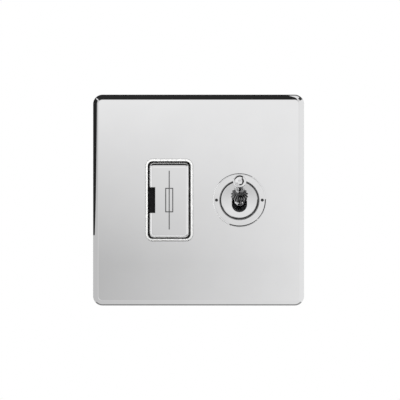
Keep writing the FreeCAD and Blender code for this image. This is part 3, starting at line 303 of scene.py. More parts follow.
PLATE_CHROME = Finish(
    "plate_chrome", Slot.CHROME, (0.90, 0.90, 0.905), (0.885, 0.885, 0.89), drift_scale=60.0,
    smoothest=0.0, roughest=0.012, grain_scale=150.0, grain_height=1e-8, metallic=1.0)
# Painted shade near other surfaces: on the cover by the surround, in the bush's slot, the ring's holes and
# gap, and heavily between the lever's flutes.
COVER_CHROME = replace(PLATE_CHROME, name="cover_chrome", painted_shade_reach=0.0007)
TURNED_CHROME = Finish(
    "turned_chrome", Slot.CHROME, (0.90, 0.90, 0.905), (0.87, 0.87, 0.875), drift_scale=300.0,
    smoothest=0.03, roughest=0.06, grain_scale=900.0, grain_height=2e-8, metallic=1.0, painted_shade_reach=0.0013)
FLUTED_CHROME = replace(TURNED_CHROME, name="fluted_chrome", painted_shade_reach=0.009, painted_shade_power=7.0)
WHITE_MOULDING = Finish(
    "white_moulding", Slot.WHITE, (0.93, 0.93, 0.925), (0.91, 0.91, 0.90), drift_scale=150.0,
    smoothest=0.22, roughest=0.34, grain_scale=5000.0, grain_height=1e-6)
HOUSING_MOULDING = Finish(
    "housing_moulding", Slot.WHITE, (0.86, 0.86, 0.84), (0.82, 0.82, 0.79), drift_scale=120.0,
    smoothest=0.38, roughest=0.52, grain_scale=4200.0, grain_height=1.2e-5)
BLACK_MOULDING = Finish(
    "black_moulding", Slot.BLACK, (0.004, 0.004, 0.0042), (0.009, 0.009, 0.0095), drift_scale=180.0,
    smoothest=0.62, roughest=0.78, grain_scale=4000.0, grain_height=1.0e-5, specular=0.12)
GREY_NYLON = Finish(
    "grey_nylon", Slot.GREY, (0.33, 0.34, 0.35), (0.28, 0.29, 0.30), drift_scale=200.0,
    smoothest=0.42, roughest=0.58, grain_scale=4000.0, grain_height=8e-6)
ZINC_PLATE = Finish(
    "zinc_plate", Slot.ZINC, (0.62, 0.63, 0.65), (0.50, 0.51, 0.52), drift_scale=260.0,
    smoothest=0.28, roughest=0.46, grain_scale=3200.0, grain_height=6e-6, metallic=1.0,
    marks_scale=900.0)
ZINC_SCREW = Finish(
    "zinc_screw", Slot.ZINC, (0.66, 0.66, 0.67), (0.55, 0.55, 0.55), drift_scale=600.0,
    smoothest=0.22, roughest=0.38, grain_scale=5200.0, grain_height=4e-6, metallic=1.0)
BRIGHT_STEEL = Finish(
    "bright_wire", Slot.STEEL, (0.70, 0.70, 0.71), (0.62, 0.62, 0.63), drift_scale=500.0,
    smoothest=0.16, roughest=0.26, grain_scale=6000.0, grain_height=1e-6, metallic=1.0)
# The hinge pin gets painted shade where other surfaces are near.
DULL_PIN = Finish(
    "dull_pin", Slot.STEEL, (0.42, 0.42, 0.43), (0.34, 0.34, 0.35), drift_scale=500.0,
    smoothest=0.28, roughest=0.40, grain_scale=6000.0, grain_height=2e-6, metallic=1.0, painted_shade_reach=0.003,
    painted_shade_power=4.0)
PLAIN_BRASS = Finish(
    "plain_brass", Slot.BRASS, (0.80, 0.58, 0.26), (0.70, 0.48, 0.19), drift_scale=220.0,
    smoothest=0.24, roughest=0.42, grain_scale=3600.0, grain_height=5e-6, metallic=1.0,
    marks_scale=1500.0)
FUSE_CERAMIC = Finish(
    "fuse_ceramic", Slot.CERAMIC, (0.90, 0.88, 0.82), (0.84, 0.81, 0.74), drift_scale=180.0,
    smoothest=0.16, roughest=0.26, grain_scale=3000.0, grain_height=4e-6, coat=0.4)
NICKEL_CAP = Finish(
    "nickel_cap", Slot.NICKEL, (0.78, 0.75, 0.70), (0.70, 0.67, 0.62), drift_scale=260.0,
    smoothest=0.14, roughest=0.28, grain_scale=3600.0, grain_height=2e-6, metallic=1.0)
FILLED_INK = Finish(
    "filled_ink", Slot.CHROME, (0.03, 0.03, 0.032), (0.06, 0.06, 0.062), drift_scale=900.0,
    smoothest=0.45, roughest=0.6, grain_scale=6000.0, grain_height=4e-6)

PLAIN_NODES: dict[str, Finish] = {
    "carrier_hinge_pin": DULL_PIN,
    "lever_cross_pin": BRIGHT_STEEL,
    "lever_cradle": GREY_NYLON,
    "plunger_live": GREY_NYLON,
    "plunger_neutral": GREY_NYLON,
    "spring_live": BRIGHT_STEEL,
    "spring_neutral": BRIGHT_STEEL,
    "frame_screws": ZINC_SCREW,
}


@dataclass(frozen=True)
class Softening:
    """A CAD solid that is shown with its own shape and softly rounded edges.

    Folds under flattest are dissolved, folds over sharp stay sharp in the shading, and folds over
    rounded get a bevel as wide as edge.
    """

    node: str
    finish: Finish
    edge: float
    flattest: float = math.radians(0.4)
    sharp: float = math.radians(25.0)
    rounded: float = math.radians(50.0)
    segments: int = 2


SOFTENED = (
    Softening("plate_liner", BLACK_MOULDING, 0.00015),
    Softening("mounting_frame", ZINC_PLATE, 0.00015),
    Softening("fuse_carrier", BLACK_MOULDING, 0.00012),
    *(Softening("fuse_contact_" + side, PLAIN_BRASS, 0.00006) for side in ("feed", "load")),
    *(Softening("rocker_" + pole, PLAIN_BRASS, 0.00008) for pole in ("live", "neutral")),
    *(Softening(strip + "_strip", PLAIN_BRASS, 0.00008)
      for strip in ("feed_live", "feed_neutral", "live_link", "neutral_link", "load_live", "earth")),
    *(Softening(f"terminal_{side}_{pole}", PLAIN_BRASS, 0.00012)
      for side in ("feed", "load") for pole in ("earth", "live", "neutral")),
    Softening("rear_housing", HOUSING_MOULDING, 0.0003),
    Softening("rear_cover", HOUSING_MOULDING, 0.0002),
)


def body_of_node(node: str) -> str:
    """The moving body that a CAD node belongs to."""
    return frame["nodes"][node]["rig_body"]


def crease(mesh: bmesh.types.BMesh, sharp: float) -> None:
    """Shade a mesh smooth, apart from edges that fold by more than an angle.

    Args:
        mesh: The mesh to shade.
        sharp: The least fold of a sharp edge, in radians.
    """
    for face in mesh.faces:
        face.smooth = True
    for edge in mesh.edges:
        edge.smooth = edge.is_manifold and edge.calc_face_angle(0.0) < sharp


class Bench:
    """Turns finished meshes into dressed pieces of the object."""

    def __init__(self) -> None:
        """Build what all pieces share."""
        self.effects = SharedEffects()

    def dress(self, piece: bpy.types.Object, finish: Finish) -> None:
        """Give a piece its finish in place of any other.

        Args:
            piece: The piece that gets the finish.
            finish: How its surface looks.
        """
        piece.data.materials.clear()
        piece.data.materials.append(finish.material(self.effects))

    def piece(self, name: str, mesh: bmesh.types.BMesh, finish: Finish, body: str,
              replaces: tuple[str, ...] = (), sharp: float = SHARP_FOLD) -> bpy.types.Object:
        """Make a piece of the object from a mesh.

        Args:
            name: The piece's name.
            mesh: The finished mesh, which is freed.
            finish: How its surface looks.
            body: The body that it rides on.
            replaces: The CAD nodes that it stands for.
            sharp: The least fold of a sharp edge, in radians.

        Returns:
            The new object.
        """
        bmesh.ops.remove_doubles(mesh, verts=mesh.verts[:], dist=WELD)
        bmesh.ops.recalc_face_normals(mesh, faces=mesh.faces[:])
        crease(mesh, sharp)
        data = bpy.data.meshes.new(name)
        mesh.to_mesh(data)
        mesh.free()
        made = bpy.data.objects.new(name, data)
        bpy.context.scene.collection.objects.link(made)
        self.dress(made, finish)
        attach(made, body)
        if replaces:
            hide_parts(*replaces)
        log.info("built %s with %d faces", name, len(data.polygons))
        return made

    def soften(self, item: Softening) -> bpy.types.Object:
        """Show a CAD solid with its own shape and softly rounded edges.

        Args:
            item: The node, its finish and the width of its edges.

        Returns:
            The piece that stands for the node.
        """
        mesh = bmesh.new()
        mesh.from_mesh(frame["nodes"][item.node].data)
        bmesh.ops.remove_doubles(mesh, verts=mesh.verts[:], dist=WELD)
        bmesh.ops.dissolve_limit(mesh, angle_limit=item.flattest, use_dissolve_boundaries=False,
                                 verts=mesh.verts[:], edges=mesh.edges[:])
        made = self.piece(item.node + "_shown", mesh, item.finish, body_of_node(item.node),
                          (item.node,), item.sharp)
        rounding = made.modifiers.new("soft_edges", "BEVEL")
        rounding.width = item.edge
        rounding.segments = item.segments
        rounding.limit_method = "ANGLE"
        rounding.angle_limit = item.rounded
        rounding.use_clamp_overlap = True
        weigh(made)
        return made


def weigh(piece: bpy.types.Object) -> None:
    """Let a piece's large faces settle the shading of the edges round them."""
    piece.modifiers.new("even_shading", "WEIGHTED_NORMAL").keep_sharp = True


def cut_away(piece: bpy.types.Object, cutter: bmesh.types.BMesh) -> None:
    """Take a shape out of a piece for good.

    Args:
        piece: The piece that is cut.
        cutter: The shape that is taken out, which is freed.
    """
    bmesh.ops.recalc_face_normals(cutter, faces=cutter.faces[:])
    data = bpy.data.meshes.new("cutter")
    cutter.to_mesh(data)
    cutter.free()
    tool = bpy.data.objects.new("cutter", data)
    bpy.context.scene.collection.objects.link(tool)
    cutting = piece.modifiers.new("cut", "BOOLEAN")
    cutting.operation = "DIFFERENCE"
    cutting.solver = "EXACT"
    cutting.object = tool
    graph = bpy.context.evaluated_depsgraph_get()
    result = bmesh.new()
    result.from_mesh(piece.evaluated_get(graph).to_mesh())
    piece.modifiers.remove(cutting)
    bpy.data.objects.remove(tool)
    bmesh.ops.remove_doubles(result, verts=result.verts[:], dist=WELD)
    crease(result, SHARP_FOLD)
    result.to_mesh(piece.data)
    result.free()


@dataclass(frozen=True)
class Outline:
    """A rectangle with round corners, seen from the front."""

    x: float
    z: float
    width: float
    height: float
    corner: float
    steps: int = 10

    def ring(self, mesh: bmesh.types.BMesh, inset: float, depth: float) -> Ring:
        """Lay the outline as a closed ring of edges.

        Args:
            mesh: The mesh that gets the ring.
            inset: How far the ring lies inside the outline.
            depth: Its place along Y.

        Returns:
            The ring's edges.
        """
        place = (Matrix.Translation((self.x, depth, self.z)) @ Matrix.Rotation(math.pi / 2, 4, "X")
                 @ Matrix.Diagonal((self.width, self.height, 1.0, 1.0)))
        sheet = bmesh.ops.create_grid(mesh, x_segments=1, y_segments=1, size=0.5, matrix=place)
        bmesh.ops.bevel(mesh, geom=sheet["verts"], offset=self.corner, offset_type="OFFSET",
                        segments=self.steps, profile=0.5, affect="VERTICES", material=-1)
        face = max(mesh.faces, key=lambda item: len(item.verts))
        edges = list(face.edges)
        bmesh.ops.delete(mesh, geom=[face], context="FACES_ONLY")
        self.place({vert for edge in edges for vert in edge.verts}, inset, depth)
        return edges

    def place(self, verts: set[bmesh.types.BMVert], inset: float, depth: float) -> None:
        """Move vertices square to the outline, to a distance inside it and a depth.

        Args:
            verts: The vertices to move.
            inset: How far inside the outline they end.
            depth: Their place along Y.
        """
        reach_x = self.width / 2 - self.corner
        reach_z = self.height / 2 - self.corner
        for vert in verts:
            across = vert.co.x - self.x
            upward = vert.co.z - self.z
            anchor = Vector((max(-reach_x, min(reach_x, across)), 0.0,
                             max(-reach_z, min(reach_z, upward))))
            outward = (Vector((across, 0.0, upward)) - anchor).normalized()
            spot = anchor + outward * (self.corner - inset)
            vert.co = Vector((self.x + spot.x, depth, self.z + spot.z))

    def sweep(self, mesh: bmesh.types.BMesh, edges: Ring, stations: list[Station]) -> Ring:
        """Draw a ring out through stations that each give an inset and a depth.

        Args:
            mesh: The mesh that holds the ring.
            edges: The ring's edges.
            stations: Insets and depths to pass through.

        Returns:
            The edges of the last ring.
        """
        for inset, depth in stations:
            edges, verts = draw_out(mesh, edges)
            self.place(verts, inset, depth)
        return edges


def draw_out(mesh: bmesh.types.BMesh, edges: Ring) -> tuple[Ring, set[bmesh.types.BMVert]]:
    """Extrude a ring of edges in place.

    Args:
        mesh: The mesh that holds the ring.
        edges: The ring's edges.

    Returns:
        The new ring's edges and vertices.
    """
    drawn = bmesh.ops.extrude_edge_only(mesh, edges=edges)["geom"]
    verts = {item for item in drawn if isinstance(item, bmesh.types.BMVert)}
    ring = [item for item in drawn if isinstance(item, bmesh.types.BMEdge)
            and item.verts[0] in verts and item.verts[1] in verts]
    return ring, verts


def arc(centre: Station, radius: float, start: float, end: float, steps: int) -> list[Station]:
    """Points along an arc, both ends included.

    Args:
        centre: The arc's centre.
        radius: Its radius.
        start: Where it starts, in degrees.
        end: Where it ends, in degrees.
        steps: The number of stretches between points.

    Returns:
        The points in order.
    """
    angles = [math.radians(start + (end - start) * step / steps) for step in range(steps + 1)]
    return [(centre[0] + radius * math.cos(angle), centre[1] + radius * math.sin(angle))
            for angle in angles]


def lathe(mesh: bmesh.types.BMesh, profile: list[Station], steps: int, closed: bool = False,
          place: Matrix = Matrix.Identity(4)) -> list[bmesh.types.BMVert]:
    """Turn a profile of radii and heights once round an axis.

    Args:
        mesh: The mesh that gets the turned form.
        profile: Radius and place along the axis of each point.
        steps: The number of stretches round the axis.
        closed: Whether the profile's last point joins its first.
        place: Turns the axis, which is Z, and moves it.

    Returns:
        The turned form's vertices.
    """
    before = set(mesh.verts)
    line = [mesh.verts.new((radius, 0.0, along)) for radius, along in profile]
    pairs = list(zip(line, line[1:])) + ([(line[-1], line[0])] if closed else [])
    edges = [mesh.edges.new(pair) for pair in pairs]
    bmesh.ops.spin(mesh, geom=line + edges, cent=(0.0, 0.0, 0.0), axis=UP, dvec=(0.0, 0.0, 0.0),
                   angle=FULL_TURN, steps=steps, use_merge=True, use_duplicate=False)
    turned = [vert for vert in mesh.verts if vert not in before]
    bmesh.ops.remove_doubles(mesh, verts=turned, dist=WELD)
    turned = [vert for vert in mesh.verts if vert not in before]
    bmesh.ops.transform(mesh, matrix=place, verts=turned)
    return turned


def facing_front(x: float, z: float) -> Matrix:
    """An axis that points at the viewer, with its zero in the wall plane."""
    return Matrix.Translation((x, 0.0, z)) @ Matrix.Rotation(math.pi / 2, 4, "X")


THREAD_SINK = 1.1
THREAD_SHARES = (0.0, 0.44, 0.5, 0.94)


def helical_rib(mesh: bmesh.types.BMesh, radius: float, depth: float, pitch: float, start: float,
                length: float, steps: int, place: Matrix) -> None:
    """Wind a screw's thread round its core, with whole turns only.

    Args:
        mesh: The mesh that gets the thread.
        radius: The thread's crest.
        depth: Height of the crest over the core.
        pitch: Distance between two turns.
        start: Where the thread starts along the axis.
        length: Its length along the axis.
        steps: The number of stretches in one turn.
        place: Turns the axis, which is Z, and moves it.
    """
    before = set(mesh.verts)
    turns = int(length / pitch)
    root = radius - THREAD_SINK * depth
    section = [(reach, start + pitch * share)
               for reach, share in zip((root, radius, radius, root), THREAD_SHARES)]
    line = [mesh.verts.new((reach, 0.0, along)) for reach, along in section]
    face = mesh.faces.new(line)
    edges = list(face.edges)
    bmesh.ops.spin(mesh, geom=[*line, *edges], cent=(0.0, 0.0, 0.0), axis=UP,
                   dvec=(0.0, 0.0, pitch / steps), angle=FULL_TURN * turns, steps=steps * turns,
                   use_merge=False, use_duplicate=False)
    wound = [vert for vert in mesh.verts if vert not in before]
    rims = [edge for edge in mesh.edges if edge.is_boundary and edge.verts[0] in wound]
    bmesh.ops.holes_fill(mesh, edges=rims, sides=4)
    bmesh.ops.transform(mesh, matrix=place, verts=wound)


def block(mesh: bmesh.types.BMesh, low: Vector, high: Vector) -> list[bmesh.types.BMVert]:
    """A plain box between two corners, for cutting or as a stroke of a mark.

    Args:
        mesh: The mesh that gets the box.
        low: Its corner with the least of every coordinate.
        high: Its corner with the most.

    Returns:
        The box's vertices.
    """
    place = Matrix.Translation((low + high) / 2) @ Matrix.Diagonal((*(high - low), 1.0))
    return bmesh.ops.create_cube(mesh, size=1.0, matrix=place)["verts"]


@dataclass
class WallPlate:
    """The pressed chrome plate."""

    corner: float = 0.004
    roll: float = 0.0024
    sheet: float = 0.001
    margin: float = 0.0003
    window_corner: float = 0.0031
    clearance: float = 0.0001
    steps: int = 12
    opening_steps: int = 96

    def build(self, bench: Bench) -> None:
        """Model the plate as one swept shell with two windows.

        Args:
            bench: Makes and dresses the pieces.
        """
        low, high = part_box("front_plate")
        face = low.y
        shell = Outline((low.x + high.x) / 2, (low.z + high.z) / 2, high.x - low.x,
                        high.z - low.z, self.corner, self.steps)
        inner = self.roll - self.sheet
        outside = [(self.roll - x, face + self.roll - y)
                   for x, y in arc((0.0, 0.0), self.roll, 90.0, 0.0, self.steps)]
        inside = [(self.roll - x, face + self.roll - y)
                  for x, y in arc((0.0, 0.0), inner, 0.0, 90.0, self.steps)]
        mesh = bmesh.new()
        front = shell.ring(mesh, self.roll + self.margin, face)
        back = shell.sweep(mesh, front, [*outside, (0.0, high.y), (self.sheet, high.y), *inside,
                                         (self.roll + self.margin, face + self.sheet)])
        front_rims, back_rims = list(front), list(back)
        for rim_front, rim_back in (self.fuse_opening(mesh, face), self.switch_opening(mesh, face)):
            front_rims += rim_front
            back_rims += rim_back
        for rims in (front_rims, back_rims):
            bmesh.ops.triangle_fill(mesh, use_beauty=True, use_dissolve=False, edges=rims)
        weigh(bench.piece("front_plate_shown", mesh, PLATE_CHROME, "unit", ("front_plate",)))

    def fuse_opening(self, mesh: bmesh.types.BMesh, face: float) -> tuple[Ring, Ring]:
        """The opening round the fuse window's surround.

        Args:
            mesh: The plate's mesh.
            face: The place of the plate's face along Y.

        Returns:
            The edges of the opening's front and back rims.
        """
        low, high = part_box("fuse_bezel")
        flange = FuseWindow().flange
        play = 2 * self.clearance
        opening = Outline((low.x + high.x) / 2, (low.z + high.z) / 2,
                          high.x - low.x - 2 * flange + play, high.z - low.z - 2 * flange + play,
                          self.window_corner)
        rim = opening.ring(mesh, 0.0, face)
        return rim, opening.sweep(mesh, rim, [(0.0, face + self.sheet)])

    def switch_opening(self, mesh: bmesh.types.BMesh, face: float) -> tuple[Ring, Ring]:
        """The round opening for the switch's bush.

        Args:
            mesh: The plate's mesh.
            face: The place of the plate's face along Y.

        Returns:
            The edges of the opening's front and back rims.
        """
        low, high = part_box("toggle_ring")
        middle = (low + high) / 2
        radius = ToggleSwitch().bush_radius + self.clearance
        place = Matrix.Translation((middle.x, face, middle.z)) @ Matrix.Rotation(math.pi / 2, 4, "X")
        made = bmesh.ops.create_circle(mesh, cap_ends=False, radius=radius,
                                       segments=self.opening_steps, matrix=place)
        rim = list(dict.fromkeys(edge for vert in made["verts"] for edge in vert.link_edges))
        drawn, verts = draw_out(mesh, rim)
        for vert in verts:
            vert.co.y = face + self.sheet
        return rim, drawn


@dataclass
class FuseWindow:
    """The white surround, the hinged cover with its notch and mark, and the fuse."""

    flange: float = 0.002
    wall: float = 0.00095
    surround_corner: float = 0.003
    outer_round: float = 0.0006
    outer_steps: int = 6
    inner_round: float = 0.0002
    inner_steps: int = 5
    plate_back: float = -0.005
    flange_back: float = -0.0034
    cover_corner: float = 0.002
    cover_round: float = 0.0012
    cover_steps: int = 12
    cover_margin: float = 0.0002
    cover_sheet: float = 0.0008
    top_stretch: float = 1.65
    notch_width: float = 0.0025
    notch_length: float = 0.011
    mark_length: float = 0.025
    mark_box: float = 0.010
    mark_width: float = 0.0030
    mark_line: float = 0.00034
    mark_height: float = 0.00004
    mark_gap: float = 0.000005
    cap_sheet: float = 0.0004
    cap_round: float = 0.0006
    cap_steps: int = 6
    crimp_depth: float = 0.00012
    crimp_height: float = 0.0008
    lip_height: float = 0.0005
    turn_steps: int = 64

    def build(self, bench: Bench) -> None:
        """Model every piece of the window.

        Args:
            bench: Makes and dresses the pieces.
        """
        self.surround(bench)
        self.cover(bench)
        self.mark(bench)
        self.fuse(bench)

    def surround(self, bench: Bench) -> None:
        """The moulded surround with the flange that holds it behind the plate.

        Args:
            bench: Makes and dresses the pieces.
        """
        low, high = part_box("fuse_bezel")
        rim = Outline((low.x + high.x) / 2, (low.z + high.z) / 2, high.x - low.x - 2 * self.flange,
                      high.z - low.z - 2 * self.flange, self.surround_corner)
        front, bead = low.y, self.inner_round
        inner = [(self.wall - bead + x, front + bead - y)
                 for x, y in arc((0.0, 0.0), bead, 0.0, 90.0, self.inner_steps)]
        outer = [(self.outer_round - x, front + self.outer_round - y)
                 for x, y in arc((0.0, 0.0), self.outer_round, 90.0, 0.0, self.outer_steps)]
        mesh = bmesh.new()
        first = rim.ring(mesh, self.wall, high.y)
        last = rim.sweep(mesh, first, [*inner, *outer, (0.0, self.plate_back),
                                       (-self.flange, self.plate_back), (-self.flange, self.flange_back),
                                       (0.0, self.flange_back), (0.0, high.y)])
        bmesh.ops.bridge_loops(mesh, edges=first + last)
        weigh(bench.piece("fuse_bezel_shown", mesh, WHITE_MOULDING, "unit", ("fuse_bezel",)))

    def cover(self, bench: Bench) -> None:
        """The chrome cover, a shallow tray with a notch in its left side.

        Args:
            bench: Makes and dresses the pieces.
        """
        low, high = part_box("carrier_cover")
        tray = Outline((low.x + high.x) / 2, (low.z + high.z) / 2, high.x - low.x,
                       high.z - low.z, self.cover_corner, self.cover_steps)
        front, bead = low.y, self.cover_round
        edge = [(bead - x, front + bead - y)
                for x, y in arc((0.0, 0.0), bead, 90.0, 0.0, self.cover_steps)]
        inside = front + self.cover_sheet
        mesh = bmesh.new()
        first = tray.ring(mesh, bead + self.cover_margin, front)
        last = tray.sweep(mesh, first, [*edge, (0.0, high.y), (self.cover_sheet, high.y),
                                        (self.cover_sheet, inside)])
        for ring in (first, last):
            bmesh.ops.edgeloop_fill(mesh, edges=ring)
        self.stretch_top(mesh, tray, front + bead)
        piece = bench.piece("carrier_cover_shown", mesh, COVER_CHROME, "carrier", ("carrier_cover",))
        notch = bmesh.new()
        block(notch, Vector((low.x - self.notch_width, low.y - self.notch_width, -self.notch_length / 2)),
              Vector((low.x + self.notch_width, high.y + self.notch_width, self.notch_length / 2)))
        cut_away(piece, notch)
        weigh(piece)

    def stretch_top(self, mesh: bmesh.types.BMesh, tray: Outline, back: float) -> None:
        """Draw the rolled edge along the cover's top further down, for a slower curve there.

        Args:
            mesh: The cover's mesh.
            tray: The cover's outline.
            back: Where the rolled edge ends along Y.
        """
        reach_x, reach_z = (side / 2 - tray.corner for side in (tray.width, tray.height))
        for vert in mesh.verts:
            across, upward = vert.co.x - tray.x, vert.co.z - tray.z - reach_z
            if upward > 0.0 and vert.co.y < back:
                radius = math.hypot(across - max(-reach_x, min(reach_x, across)), upward)
                inset = tray.corner - radius
                vert.co.z -= inset * (self.top_stretch - 1.0) * (upward / radius) ** 2

    def mark(self, bench: Bench) -> None:
        """A plain fuse symbol, a box with a line through it, filled with dark ink.

        Args:
            bench: Makes and dresses the pieces.
        """
        low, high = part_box("carrier_cover")
        middle = (low + high) / 2
        front = low.y - self.mark_height
        back = low.y + self.mark_height
        half = self.mark_line / 2
        side, top, end = self.mark_width / 2, self.mark_box / 2, self.mark_length / 2
        edge = half + self.mark_gap
        strokes = [(-half, half, bottom, upper)
                   for bottom, upper in ((top + edge, end), (edge - top, top - edge), (-end, -top - edge))]
        strokes += [(x - half, x + half, -top - half, top + half) for x in (-side, side)]
        strokes += [(edge - side, side - edge, z - half, z + half) for z in (top, -top)]
        mesh = bmesh.new()
        for left, right, bottom, upper in strokes:
            block(mesh, Vector((middle.x + left, front, middle.z + bottom)),
                  Vector((middle.x + right, back, middle.z + upper)))
        bench.piece("fuse_symbol", mesh, FILLED_INK, "carrier")

    def fuse(self, bench: Bench) -> None:
        """The cartridge fuse, with rolled caps and a glazed barrel.

        Args:
            bench: Makes and dresses the pieces.
        """
        for node in ("fuse_cap_top", "fuse_cap_bottom"):
            low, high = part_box(node)
            radius, length = (high.x - low.x) / 2, high.z - low.z
            upward = 1.0 if high.z > 0.0 else -1.0
            end = high.z if upward > 0.0 else low.z
            sheet, bead = self.cap_sheet, self.cap_round
            crown = arc((radius - bead, -bead), bead, 90.0, 0.0, self.cap_steps)
            lip = [(radius - self.crimp_depth, self.crimp_height - length),
                   (radius, self.lip_height - length), (radius, -length),
                   (radius - sheet, -length), (radius - sheet, -sheet), (0.0, -sheet)]
            place = (Matrix.Translation(((low.x + high.x) / 2, (low.y + high.y) / 2, end))
                     @ Matrix.Diagonal((1.0, 1.0, upward, 1.0)))
            mesh = bmesh.new()
            lathe(mesh, [(0.0, 0.0), *crown, *lip], self.turn_steps, place=place)
            bench.piece(node + "_shown", mesh, NICKEL_CAP, "carrier", (node,))
        low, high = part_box("fuse_barrel")
        radius, half = (high.x - low.x) / 2, (high.z - low.z) / 2
        mesh = bmesh.new()
        lathe(mesh, [(0.0, half), (radius, half), (radius, 0.0), (radius, -half), (0.0, -half)],
              self.turn_steps, place=Matrix.Translation((low + high) / 2))
        bench.piece("fuse_barrel_shown", mesh, FUSE_CERAMIC, "carrier", ("fuse_barrel",))


